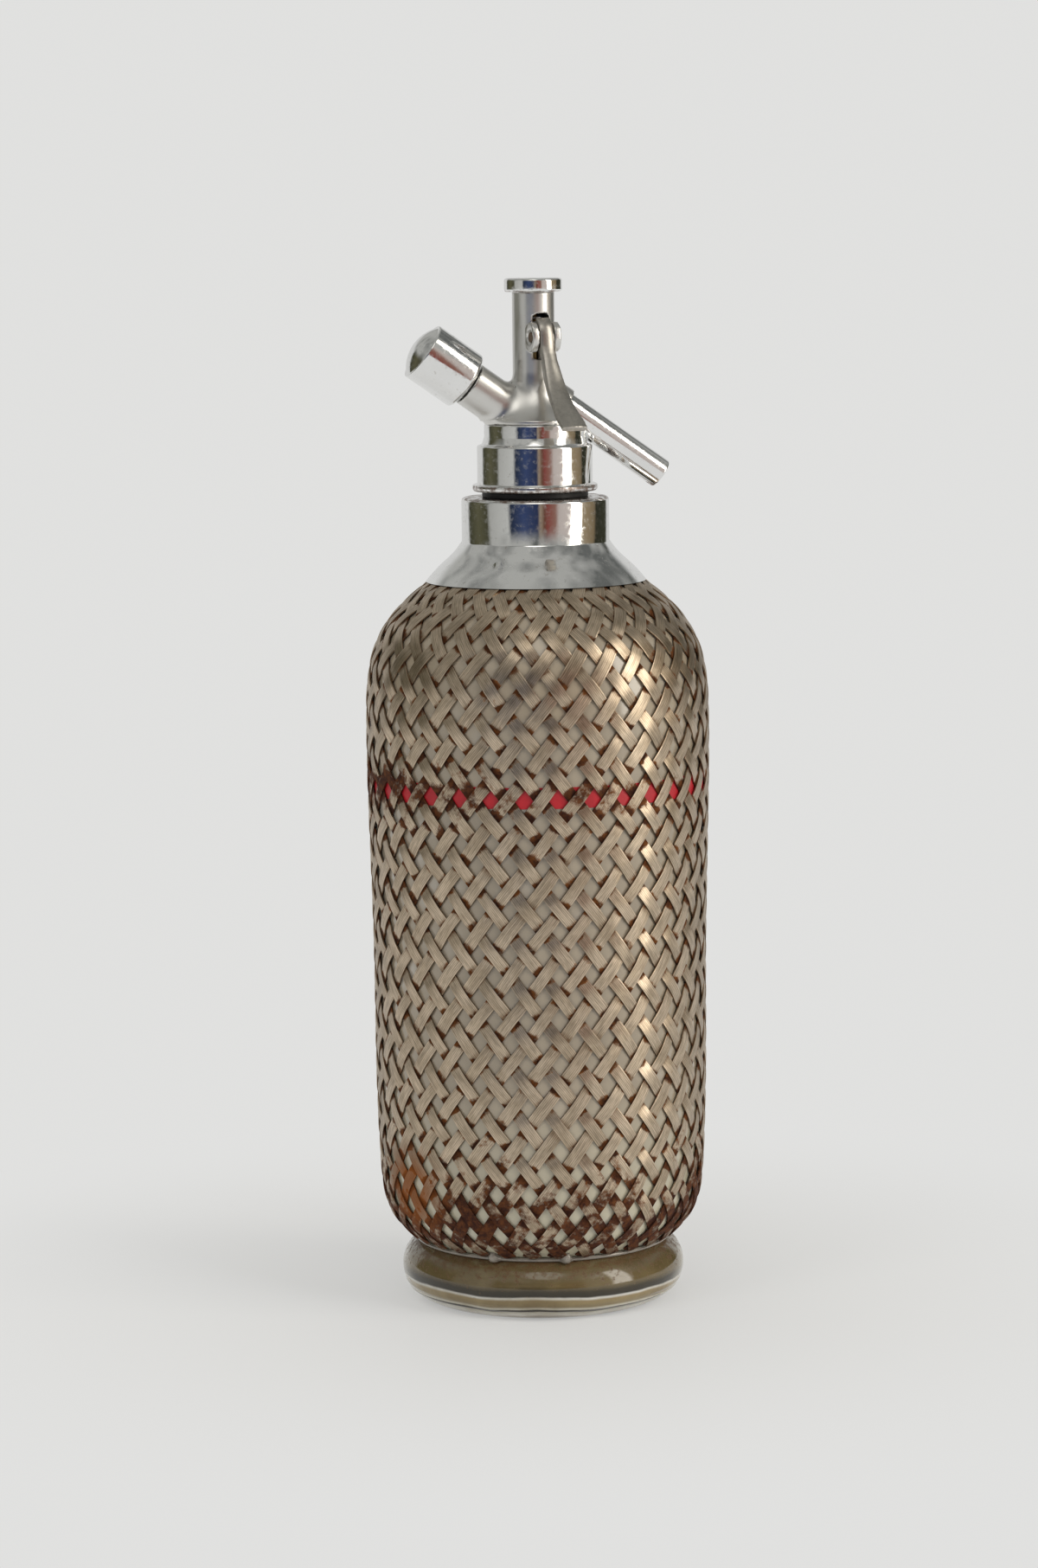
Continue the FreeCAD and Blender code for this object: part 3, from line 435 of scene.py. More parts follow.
class Wiring:
    """A node tree being wired. What its methods take and give are sockets, and a plain number or
    colour may stand for any socket that goes in."""

    def __init__(self, tree):
        self.tree = tree
        self.shader = tree.nodes.get("Principled BSDF")

    def add(self, kind, **settings):
        """New node, its settings given to the sockets or properties of those names."""
        node = self.tree.nodes.new(kind)
        for key, value in settings.items():
            if key in node.inputs:
                node.inputs[key].default_value = value
            else:
                setattr(node, key, value)
        return node

    def feed(self, entry, value):
        """Links a socket to a node's entry, or gives the entry a number, a place or a colour."""
        if isinstance(value, bpy.types.NodeSocket):
            self.tree.links.new(value, entry)
        elif entry.type == "RGBA":
            entry.default_value = tuple(value) + (1.0,)
        else:
            entry.default_value = value

    def shade(self, **entries):
        """Feeds the surface shader's entries, with an underscore for each space in a name."""
        for key, value in entries.items():
            self.feed(self.shader.inputs[key.replace("_", " ")], value)

    def place(self, kind="Object"):
        """Coordinates: Object ones stay put on the piece, Generated ones are the world's."""
        return self.add("ShaderNodeTexCoord").outputs[kind]

    def axis(self, vector, letter):
        """The X, Y or Z of a vector."""
        split = self.add("ShaderNodeSeparateXYZ")
        self.feed(split.inputs[0], vector)
        return split.outputs[letter]

    def attribute(self, name, output="Fac"):
        """Attribute that the piece's mesh carries."""
        return self.add("ShaderNodeAttribute", attribute_name=name).outputs[output]

    def noise(self, scale, detail=4.0, roughness=0.55, place=None):
        """Noise from 0 to 1, on Object coordinates where no other place is given."""
        noise = self.add("ShaderNodeTexNoise", Scale=scale, Detail=detail, Roughness=roughness)
        self.feed(noise.inputs["Vector"], self.place() if place is None else place)
        return noise.outputs["Fac"]

    def ramp(self, source, stops):
        """Colour ramp from a list of (position, colour)."""
        ramp = self.add("ShaderNodeValToRGB")
        self.feed(ramp.inputs["Fac"], source)
        cells = ramp.color_ramp.elements
        while len(cells) < len(stops):
            cells.new(0.5)
        for cell, (position, colour) in zip(cells, stops):
            cell.position = position
            cell.color = tuple(colour) + (1.0,)
        return ramp.outputs["Color"]

    def mix(self, factor, first, second, way="MIX"):
        """Colour that goes from the first to the second, or to both multiplied, with the factor."""
        mix = self.add("ShaderNodeMix", data_type="RGBA", blend_type=way)
        for entry, value in ((0, factor), (6, first), (7, second)):
            self.feed(mix.inputs[entry], value)
        return mix.outputs[2]

    def math(self, operation, first, second):
        """One step of arithmetic on two numbers."""
        node = self.add("ShaderNodeMath", operation=operation)
        self.feed(node.inputs[0], first)
        self.feed(node.inputs[1], second)
        return node.outputs[0]

    def product(self, first, second):
        """Two numbers multiplied."""
        return self.math("MULTIPLY", first, second)

    def scaled(self, source, low, high, start=0.0, end=1.0, smooth=False):
        """Value between low and high brought to a range from start to end, and held there."""
        spread = self.add("ShaderNodeMapRange", clamp=True)
        if smooth:
            spread.interpolation_type = "SMOOTHSTEP"
        for entry, value in (("Value", source), ("From Min", low), ("From Max", high),
                             ("To Min", start), ("To Max", end)):
            self.feed(spread.inputs[entry], value)
        return spread.outputs[0]

    def height(self, low, high):
        """0 to 1 as the height on the piece goes from low to high, in millimetres."""
        return self.scaled(self.axis(self.place(), "Z"), low * MM, high * MM)

    def bump(self, source, strength, distance):
        """Bump from a height, in metres, into the shader's normal."""
        bump = self.add("ShaderNodeBump", Strength=strength, Distance=distance)
        self.feed(bump.inputs["Height"], source)
        self.feed(self.shader.inputs["Normal"], bump.outputs["Normal"])

    def surface(self, output, factor, first, second):
        """Ends the tree in its output with two shaders mixed by the factor."""
        mix = self.add("ShaderNodeMixShader")
        for entry, value in ((0, factor), (1, first.outputs[0]), (2, second.outputs[0])):
            self.feed(mix.inputs[entry], value)
        self.feed(self.tree.nodes[output].inputs["Surface"], mix.outputs[0])


def new_finish(name):
    """New material and its wiring."""
    material = bpy.data.materials.new(name)
    material.use_nodes = True
    return material, Wiring(material.node_tree)


def chosen(name):
    """One of the panel's colours."""
    return tuple(getattr(bpy.context.scene.siphon_colours, name))


def dimmed(colour, share):
    """Colour times a share."""
    return tuple(share * c for c in colour)


def chrome_finish(name, colour, roughness, dulling, pit_scale, pit_dark, wave, tarnish=()):
    """Plated metal: mirror with small pits, dull specks and an uneven polish of the wave's strength,
    and brown tarnish on the given heights, each as (low, full from, full to, high)."""
    material, w = new_finish(name)
    speck = w.noise(pit_scale, 6.0, 0.7)
    polish = w.noise(60.0, 3.0)
    tone = w.ramp(polish, [(0.3, dimmed(colour, 0.93)), (0.7, colour)])
    plating = w.mix(1.0, tone, w.ramp(speck, [(0.62, WHITE), (0.7, pit_dark)]), "MULTIPLY")
    rough = w.scaled(speck, 0.45, 0.75, roughness, roughness + dulling)
    if tarnish:
        bands = 0.0
        for low, full_low, full_high, high in tarnish:
            band = w.product(w.height(low, full_low), w.height(high, full_high))
            bands = w.math("MAXIMUM", bands, band)
        cloudy = w.product(bands, w.noise(380.0, 6.0, 0.65))
        plating = w.mix(w.scaled(cloudy, 0.4, 0.6, 0.0, 0.85), plating, TARNISH)
        rough = w.math("MAXIMUM", rough, w.scaled(cloudy, 0.4, 0.6, 0.0, 0.5))
    w.shade(Base_Color=plating, Metallic=1.0, Roughness=rough)
    w.bump(polish, wave, 0.0002)
    return material


def finish_foot_glass():
    """Old pressed glass: olive brown above, with painted shade and highlights in its colour: a dark
    wavy band at the bulge with a white highlight line under it, painted highlight and shade lines
    on the mould rings by the floor, and painted paler edges where the glass is seen edge on; brown
    dirt under the hem."""
    material, w = new_finish("foot glass")
    deep = chosen("foot")
    pale = chosen("glass")
    wobble = w.scaled(w.noise(26.0, 3.0, 0.5), 0.3, 0.7, -0.045, 0.045)
    level = w.math("ADD", w.height(0.0, FOOT_NECK_Z), wobble)
    # The olive browns are the glass's tint. The dark band at the bulge, the white line under it and the pale
    # and dark lines by the floor are painted shade and painted highlights.
    rings = w.ramp(level, [
        (0.0, (0.10, 0.08, 0.05)), (0.05, (0.32, 0.26, 0.17)), (0.09, (0.9, 0.88, 0.8)), (0.15, pale),
        (0.165, (0.03, 0.024, 0.012)), (0.19, (0.04, 0.03, 0.016)), (0.21, (0.85, 0.83, 0.72)),
        (0.25, dimmed(deep, 1.5)), (0.36, dimmed(deep, 1.9)), (0.40, (0.95, 0.94, 0.88)),
        (0.43, (0.03, 0.024, 0.01)), (0.51, (0.045, 0.034, 0.014)), (0.6, deep), (1.0, dimmed(deep, 0.8)),
    ])
    # Painted paler edges: the colour goes to the thin glass's tint where the glass is seen edge on.
    facing = w.add("ShaderNodeLayerWeight", Blend=0.5).outputs["Facing"]
    tint_with_painted_light = w.mix(w.scaled(facing, 0.62, 0.95, 0.0, 0.75), rings, pale)
    cloud = w.ramp(w.noise(60.0, 4.0, 0.6), [(0.35, (0.55, 0.5, 0.4)), (0.62, WHITE)])
    clouded = w.mix(0.8, tint_with_painted_light, cloud, "MULTIPLY")
    under_hem = w.product(w.height(9.0, 18.5), 0.27)
    dirt = w.scaled(w.math("ADD", w.noise(650.0, 4.0, 0.7), under_hem), 0.64, 0.76)
    w.shade(Base_Color=w.mix(dirt, clouded, chosen("dirt")),
            Transmission_Weight=w.scaled(dirt, 0.0, 1.0, 0.3, 0.0),
            Roughness=w.scaled(dirt, 0.0, 1.0, 0.03, 0.6),
            IOR=1.5, Coat_Weight=0.35, Coat_Roughness=0.02)
    w.bump(w.noise(70.0, 2.0), 0.3, 0.0006)
    return material


def finish_body_glass():
    """Body glass with limescale inside it: grey-beige, cloudy, with soft pale spots where light
    comes through the weave behind, greener and paler towards the floor."""
    material, w = new_finish("body glass")
    haze = chosen("haze")
    cloud = w.ramp(w.noise(30.0, 5.0, 0.6), [(0.3, dimmed(haze, 0.72)), (0.7, haze)])
    limescale = w.mix(w.height(70.0, 24.0), cloud, GREEN_LIMESCALE)
    cells = w.add("ShaderNodeTexVoronoi", Scale=105.0)
    w.feed(cells.inputs["Vector"], w.place())
    spots = w.scaled(cells.outputs["Distance"], 0.45, 0.1)
    patches = w.scaled(w.noise(14.0, 2.0), 0.45, 0.62, 0.0, 0.55)
    w.shade(Base_Color=w.mix(w.product(spots, patches), limescale, LIGHT_SPOT), Roughness=0.3,
            IOR=1.5, Coat_Weight=1.0, Coat_Roughness=0.04, Transmission_Weight=0.12)
    w.bump(w.noise(60.0, 2.0), 0.15, 0.0004)
    return material


def finish_haze():
    """Limescale film on the inside of the bottle: dull and cloudy."""
    material, w = new_finish("glass haze")
    haze = chosen("haze")
    cloud = w.ramp(w.noise(28.0, 5.0, 0.6), [(0.3, dimmed(haze, 0.7)), (0.72, haze)])
    w.shade(Base_Color=cloud, Roughness=0.42, IOR=1.45)
    return material


def ribbon_plating(w, ribbon, patch):
    """Plating of a ribbon: streaked along it, patchy, with painted shade in the groove between each two
    wires.
    """
    stretch = w.add("ShaderNodeMapping", Scale=(0.25, 1.3, 1.0))
    w.feed(stretch.inputs["Vector"], ribbon)
    plain = chosen("ribbon")
    streaks = w.ramp(w.noise(1.0, 5.0, 0.6, stretch.outputs["Vector"]),
                     [(0.34, dimmed(plain, 0.6)), (0.6, plain)])
    tones = w.ramp(patch, [(0.35, (0.7, 0.68, 0.64)), (0.6, WHITE)])
    # Painted shade in the groove between each two wires.
    off_groove = w.scaled(w.math("PINGPONG", w.axis(ribbon, "Y"), 0.5), 0.0, 0.5)
    groove_shade = w.ramp(off_groove, [(0.0, WHITE), (0.6, (0.96, 0.95, 0.94)), (1.0, (0.5, 0.42, 0.36))])
    return w.mix(0.8, w.mix(0.8, streaks, tones, "MULTIPLY"), groove_shade, "MULTIPLY")


def finish_ribbon():
    """Tarnished plated ribbon: fine wires side by side with painted shade in the grooves between them,
    streaks along it, rust and painted shade where it tucks under its neighbour, and browner low down
    and about the fill line."""
    material, w = new_finish("woven ribbon")
    tuck = w.attribute("tuck")
    patch = w.noise(150.0, 3.0, 0.6)
    fine = w.noise(520.0, 5.0, 0.7)
    low = w.height(60.0, 34.0)
    to_left = w.scaled(w.axis(w.place(), "X"), 0.03, 0.0, 0.35, 1.0)
    near_line = w.product(w.product(w.height(140.0, 158.0), w.height(174.0, 162.0)), to_left)
    where = w.math("MAXIMUM", low, w.product(near_line, 0.9))
    score = w.product(w.noise(42.0, 6.0, 0.65), 0.9)
    for reason, share in ((patch, 0.85), (fine, 0.5), (tuck, 0.42), (where, 0.36)):
        score = w.math("ADD", score, w.product(reason, share))
    from_orange = w.add("ShaderNodeVectorMath", operation="DISTANCE")
    w.feed(from_orange.inputs[0], w.place())
    w.feed(from_orange.inputs[1], ORANGE_RUST_AT)
    orange = w.scaled(from_orange.outputs["Value"], 0.017, 0.006, 0.0, 0.8)
    rusty = w.math("MAXIMUM", w.scaled(score, 1.38, 1.52), orange)
    rust = w.ramp(fine, [(0.4, chosen("rust_dark")), (0.62, chosen("rust"))])
    rust_low = w.ramp(fine, [(0.42, RUST_LOW_DARK), (0.66, RUST_LOW)])
    rust = w.mix(w.math("MAXIMUM", low, near_line), rust, rust_low)
    rust = w.mix(orange, rust, RUST_ORANGE)
    metal = w.mix(rusty, ribbon_plating(w, w.attribute("ribbon", "Vector"), patch), rust)
    # Painted shade where the ribbon dives under its neighbour.
    metal = w.mix(w.scaled(tuck, 0.35, 1.0, 0.0, 0.6), metal, TUCK_SHADE, "MULTIPLY")
    w.shade(Base_Color=metal, Metallic=0.93, Roughness=w.scaled(rusty, 0.0, 1.0, 0.33, 0.75))
    w.bump(w.math("ADD", w.attribute("crest"), w.product(fine, 0.15)), 1.0, 0.00017)
    return material


def finish_lever():
    """Satin lever: worn plating with fine speckle and soft marks."""
    material, w = new_finish("satin lever")
    colour = chosen("lever")
    speck = w.noise(900.0, 5.0, 0.7)
    tone = w.ramp(speck, [(0.35, dimmed(colour, 0.8)), (0.65, colour)])
    w.shade(Base_Color=tone, Metallic=1.0, Roughness=0.36)
    w.bump(speck, 0.2, 0.0001)
    return material


def finish_plain(name, colour, roughness, metallic=0.0, grain_scale=200.0):
    """Matt or turned material with a little variation of tone and grain."""
    material, w = new_finish(name)
    grain = w.noise(grain_scale)
    tone = w.ramp(grain, [(0.3, dimmed(colour, 0.75)), (0.7, colour)])
    w.shade(Base_Color=tone, Metallic=metallic, Roughness=roughness)
    w.bump(grain, 0.3, 0.0001)
    return material


class SiphonWeave(bpy.types.PropertyGroup):
    """Sizes of the woven sleeve."""

    strands: bpy.props.IntProperty(
        name="Strands", description="Ribbons that lean each way", default=32, min=8)
    ribbon_width: bpy.props.FloatProperty(
        name="Ribbon width", description="Width of one ribbon in millimetres", default=3.7)
    ribbon_thickness: bpy.props.FloatProperty(
        name="Ribbon thickness", description="Thickness of one ribbon in millimetres", default=0.42)
    crossing_step: bpy.props.FloatProperty(
        name="Crossing step", description="Millimetres along a ribbon between two crossings",
        default=8.2)
    wires: bpy.props.IntProperty(
        name="Wires", description="Fine wires side by side in a ribbon", default=7, min=1)


class SiphonColours(bpy.types.PropertyGroup):
    """Colours of the finishes."""

    glass: bpy.props.FloatVectorProperty(
        name="Glass", description="Tint of thin glass", subtype="COLOR", default=(0.66, 0.63, 0.52))
    foot: bpy.props.FloatVectorProperty(
        name="Foot", description="Tint of the thick foot", subtype="COLOR", default=(0.21, 0.16, 0.075))
    dirt: bpy.props.FloatVectorProperty(
        name="Dirt", description="Brown dirt under the hem", subtype="COLOR", default=(0.10, 0.055, 0.02))
    haze: bpy.props.FloatVectorProperty(
        name="Haze", description="Film inside the bottle", subtype="COLOR", default=(0.40, 0.33, 0.235))
    ribbon: bpy.props.FloatVectorProperty(
        name="Ribbon", description="Tarnished ribbon", subtype="COLOR", default=(0.66, 0.545, 0.41))
    rust: bpy.props.FloatVectorProperty(
        name="Rust", description="Bright rust", subtype="COLOR", default=(0.30, 0.12, 0.04))
    rust_dark: bpy.props.FloatVectorProperty(
        name="Dark rust", description="Dark tarnish", subtype="COLOR", default=(0.085, 0.038, 0.024))
    red: bpy.props.FloatVectorProperty(
        name="Fill line", description="Painted fill line", subtype="COLOR", default=(0.45, 0.012, 0.02))
    lever: bpy.props.FloatVectorProperty(
        name="Lever", description="Satin lever", subtype="COLOR", default=(0.52, 0.49, 0.44))
    backdrop: bpy.props.FloatVectorProperty(
        name="Backdrop", description="Pale studio backdrop", subtype="COLOR", default=(0.75, 0.75, 0.74))


class SiphonCamera(bpy.types.PropertyGroup):
    """Where the photograph was taken from."""

    focal_px: bpy.props.FloatProperty(
        name="Focal length", description="Focal length in pixels of the 1812 pixel high frame",
        default=5200.0)
    azimuth: bpy.props.FloatProperty(
        name="Azimuth", description="Turn round the object", subtype="ANGLE",
        default=math.radians(-14.0))
    distance: bpy.props.FloatProperty(
        name="Distance", description="Level distance to the axis", unit="LENGTH", default=1.357)
    height: bpy.props.FloatProperty(
        name="Height", description="Height over the base", unit="LENGTH", default=0.3336)
    pitch: bpy.props.FloatProperty(
        name="Pitch", description="Tilt down", subtype="ANGLE", default=math.radians(7.39))
    yaw: bpy.props.FloatProperty(
        name="Yaw", description="Turn to the left of the object's axis", subtype="ANGLE",
        default=math.atan(22.4 / 5200.0))
    roll: bpy.props.FloatProperty(
        name="Roll", description="Roll to the right", subtype="ANGLE", default=math.radians(0.64))


def glass_outline():
    """Outline of the bottle from the middle of the punt out to the foot, up the body, over the
    mouth and down the inside to the middle of the floor. The foot's arc carries two low rings left
    by the mould, each a bell curve of its swing."""
    swing = np.linspace(FOOT_LOW, FOOT_HIGH, 60)
    lower_ring = np.radians(-38.0)
    ring_width = 0.05
    rings = 0.22 * np.exp(-((swing - lower_ring) / ring_width) ** 2)
    rings += 0.16 * np.exp(-((swing - lower_ring - 0.22) / ring_width) ** 2)
    foot = np.stack([FOOT_CENTRE[0] + (FOOT_ARC_R + rings) * np.cos(swing),
                     FOOT_CENTRE[1] + (FOOT_ARC_R + rings) * np.sin(swing)], -1)
    body = smooth_through(BODY_OUTLINE, 150)
    slope = slopes(body)
    inner = body + GLASS_WALL * np.stack([-slope[:, 1], slope[:, 0]], -1)
    heel_top_z, throat_z = 31.0, 229.0
    keep = (inner[:, 1] > heel_top_z) & (inner[:, 0] > GLASS_BORE_R + 0.5) & (body[:, 1] < throat_z)
    inner = inner[keep][::-1]
    bore_end = (GLASS_BORE_R, 232.0)
    mouth = rounded([(GLASS_NECK_R, GLASS_NECK_Z, 0), (GLASS_NECK_R, GLASS_MOUTH_Z, 1.0),
                     (GLASS_BORE_R, GLASS_MOUTH_Z, 1.0), (*bore_end, 0)])
    throat = smooth_through([bore_end, (13.4, 228.6), tuple(inner[0])], 10)[1:-1]
    floor = smooth_through([tuple(inner[-1]), (38.6, 24.2), (33.0, 18.6), (24.0, 18.0), (0.001, 19.0)],
                           24)[1:]
    punt_r = (PUNT_RIM_R ** 2 + PUNT_RISE ** 2) / (2 * PUNT_RISE)
    swing = np.linspace(0, math.asin(PUNT_RIM_R / punt_r), 24)
    punt = np.stack([punt_r * np.sin(swing), PUNT_RISE - punt_r * (1 - np.cos(swing))], -1)
    outline = np.concatenate([punt, [(FOOT_CONTACT_R - 0.4, 0.0)], foot[1:], body[1:], mouth[1:],
                              throat, inner, floor])
    outline[-1, 0] = 0.0
    return outline


class SIPHON_OT_glass(bpy.types.Operator):
    """Blown glass bottle with a pushed-up foot, mould rings and a hazy inside"""

    bl_idname = "siphon.glass"
    bl_label = "Glass bottle"

    def execute(self, context):
        piece = lathe_piece("glass_bottle", glass_outline(), "bottle", 192, closed=False, sharp=60.0)
        for finish in (finish_foot_glass, finish_haze, finish_body_glass):
            piece.data.materials.append(finish())
        self.share_out(piece.data)
        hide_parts("bottle")
        return {"FINISHED"}

    def share_out(self, mesh):
        """Gives each face its finish: 0 on the foot, 1 inside and 2 under the sleeve."""
        centres = np.zeros(len(mesh.polygons) * 3)
        mesh.polygons.foreach_get("center", centres)
        normals = np.zeros(len(mesh.polygons) * 3)
        mesh.polygons.foreach_get("normal", normals)
        centres = centres.reshape(-1, 3) / MM
        normals = normals.reshape(-1, 3)
        outward = (centres[:, :2] * normals[:, :2]).sum(1)
        inside = (centres[:, 2] > GLASS_INSIDE_FROM_Z) & ((outward < 0) | (normals[:, 2] > 0.95))
        covered = (centres[:, 2] > SLEEVE_FROM_Z) & ~inside
        mesh.polygons.foreach_set("material_index", (inside + 2 * covered).astype(np.int32))


def body_rows(weave):
    """Body outline under the sleeve and, at each of its points, the distance along it, the rise of
    a ribbon between two crossings there, and the crossings passed. The rise is the square root of
    the crossing step squared less the square of the part of it that goes round the body."""
    skin = smooth_through(BODY_OUTLINE[1:-2], 400)
    run = distances_along(skin)
    pitch = np.pi / weave.strands
    rise = np.sqrt(weave.crossing_step ** 2 - (pitch * skin[:, 0]) ** 2)
    row = np.concatenate([[0.0], np.cumsum(np.diff(run) / ((rise[1:] + rise[:-1]) / 2))])
    row -= np.interp(CROSSING_Z, skin[:, 1], row)
    return skin, run, rise, row


def ribbon_section(weave):
    """Cross-section of a ribbon, as shares of its width and heights over its middle: wires side by
    side on top with a groove between each two, and a flat underside."""
    tops = 2 * weave.wires + 1
    half = weave.ribbon_thickness / 2
    crest = np.where(np.arange(tops) % 2 == 1, 0.0, -WIRE_GROOVE)
    across = np.concatenate([np.linspace(-0.5, 0.5, tops), [0.5, -0.5]])
    return across, np.concatenate([half + crest, [-half, -half]])


class SIPHON_OT_sleeve(bpy.types.Operator):
    """Woven sleeve of flat ribbons, half leaning each way, over one and under one"""

    bl_idname = "siphon.sleeve"
    bl_label = "Woven sleeve"

    lean: bpy.props.IntProperty(name="Lean", description="1 leans right going up, -1 left", default=1)
    half: bpy.props.IntProperty(name="Half", description="Which half of the ribbons", default=0)

    def execute(self, context):
        weave = context.scene.siphon_weave
        verts, marks = self.ribbons(weave)
        strands, count, corners = verts.shape[:3]
        ring = grid_faces(count, corners)
        faces = (ring[None] + (np.arange(strands) * count * corners)[:, None, None]).reshape(-1, 4)
        name = "sleeve_" + ("rising" if self.lean > 0 else "falling") + "_" + str(self.half)
        mesh = bpy.data.meshes.new(name)
        mesh.from_pydata((verts.reshape(-1, 3) * MM).tolist(), [], faces.tolist())
        for mark, (field, values) in marks.items():
            mark_points(mesh, mark, field, values)
        if self.lean < 0:
            mesh.flip_normals()
        mesh.shade_smooth()
        mesh.set_sharp_from_angle(angle=math.radians(50.0))
        piece = put_object(name, mesh)
        mesh.materials.append(bpy.data.materials.get("woven ribbon") or finish_ribbon())
        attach(piece, "bottle")
        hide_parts("mesh_sleeve")
        return {"FINISHED"}

    def ribbons(self, weave):
        """Vertices by ribbon, place along it and corner of its section, and what the finish reads
        there. A ribbon turns one pitch per crossing while it rises, a little off by chance, and
        its height over the body is the hyperbolic tangent of a cosine wave, so that it lies flat
        over one neighbour and under the next."""
        skin, run, rise, row = body_rows(weave)
        pitch = np.pi / weave.strands
        count = int((row[-1] - row[0]) * PLACES_PER_CROSSING)
        rows = np.linspace(row[0] + 0.05, row[-1] + 0.22, count)
        strand = np.arange(self.half, weave.strands, 2)
        rng = np.random.default_rng(RIBBON_SEED + self.lean)
        drift = rng.normal(0, RIBBON_DRIFT, weave.strands)[strand][:, None]
        phase = rng.uniform(0, 6.28, weave.strands)[strand][:, None]
        width = weave.ribbon_width * rng.uniform(0.93, 1.06, weave.strands)[strand]
        turn = CROSSING_TURN + strand[:, None] * 2 * pitch + self.lean * pitch * rows[None]
        turn = turn + drift + RIBBON_WANDER * np.sin(rows[None] * 1.7 + phase)
        over = self.lean * np.cos(np.pi * rows)
        height = np.tanh(RIBBON_FLATNESS * over) / np.tanh(RIBBON_FLATNESS)
        lift = (SLEEVE_THICKNESS - weave.ribbon_thickness) / 2 - RIBBON_CLEARANCE
        across, crest = ribbon_section(weave)
        at = np.interp(rows, row, run) + np.clip(rows - row[-1], 0, None) * rise[-1]
        radius_at = np.interp(at, run, skin[:, 0])
        rise_at = np.interp(at, run, rise)
        step_round = self.lean * pitch * radius_at
        length = np.hypot(step_round, rise_at)
        side_round = -rise_at / length
        side_up = step_round / length
        offset = across[None, None, :] * width[:, None, None]
        s = at[None, :, None] + offset * side_up[None, :, None]
        past_end = np.clip(s - run[-1], 0, None)
        end_slope = (skin[-1] - skin[-2]) / np.linalg.norm(skin[-1] - skin[-2])
        slope = slopes(skin)
        out = SLEEVE_GAP + SLEEVE_THICKNESS / 2 + height[None, :, None] * lift + crest[None, None, :]
        radius = np.interp(s, run, skin[:, 0]) + past_end * end_slope[0]
        radius = radius + np.interp(s, run, slope[:, 1]) * out
        z = np.interp(s, run, skin[:, 1]) + past_end * end_slope[1]
        z = z + np.interp(s, run, -slope[:, 0]) * out
        phi = turn[:, :, None] + offset * side_round[None, :, None] / radius_at[None, :, None]
        shape = phi.shape
        verts = turned(radius, z, phi).reshape(*shape, 3)
        near = np.clip((0.1 - over) / 0.9, 0, 1)
        tuck = np.broadcast_to((near * near * (3 - 2 * near))[None, :, None], shape)
        ribbon = np.stack([np.broadcast_to(at[None, :, None], shape),
                           np.broadcast_to(across[None, None, :], shape) * weave.wires,
                           np.broadcast_to(strand[:, None, None] * 7.3 + self.lean * 3.1, shape)], -1)
        return verts, {"tuck": ("value", tuck),
                       "crest": ("value", np.broadcast_to(over[None, :, None], shape)),
                       "ribbon": ("vector", ribbon)}


class SIPHON_OT_trim(bpy.types.Operator):
    """Hem wire at the foot with its knots, red fill line and black neck seal"""

    bl_idname = "siphon.trim"
    bl_label = "Hem, fill line and seal"

    def execute(self, context):
        self.hem()
        red = finish_plain("fill line paint", chosen("red"), roughness=0.45, grain_scale=300.0)
        line = self.band("fill_band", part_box("fill_line"), red, wall=0.15)
        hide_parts("fill_line")
        rubber = finish_plain("black rubber", RUBBER, roughness=0.55)
        seal = self.band("rubber_seal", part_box("neck_seal"), rubber, bore=NECK_HOLE_R, edge=0.4)
        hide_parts("neck_seal")
        return {"FINISHED"}

    def hem(self):
        """Round wire along a ring; at each knot it swells, and rises, by a flat-topped bell curve
        of the angle from the knot."""
        low, high = (np.array(corner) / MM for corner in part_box("sleeve_hem"))
        wire_r = (high[2] - low[2]) / 2
        inner_r = high[0] - 2 * wire_r
        segments = 384
        turn = full_turn(segments)
        knots = sum(np.exp(-((turn - math.radians(at)) / KNOT_HALF_WIDTH) ** 4) for at in KNOT_TURNS)
        size = wire_r * (1 + KNOT_GROWTH * knots)[None]
        swing = full_turn(16)[:, None]
        middle_z = (high[2] + low[2]) / 2 + KNOT_LIFT * (size - wire_r)
        verts = turned(inner_r + size + size * np.cos(swing), middle_z + size * np.sin(swing), turn)
        hem = put_mesh("hem_wire", verts, grid_faces(len(swing), segments, close_rows=True), "bottle")
        hem.data.materials.append(
            finish_plain("hem wire", (0.30, 0.27, 0.23), roughness=0.25, metallic=0.2, grain_scale=400.0))
        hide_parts("sleeve_hem")

    def band(self, name, box, finish, wall=0.0, bore=None, edge=0.0):
        """Flat ring as tall and wide as the box, of the given wall or bore, with its outer edges
        rounded."""
        low, high = (np.array(corner) / MM for corner in box)
        outer = high[0]
        inner = outer - wall if bore is None else bore
        outline = rounded([(inner, low[2], 0), (outer, low[2], edge), (outer, high[2], edge),
                           (inner, high[2], 0), (inner, low[2], 0)])[:-1]
        piece = lathe_piece(name, outline, "bottle")
        piece.data.materials.append(finish)
        return piece


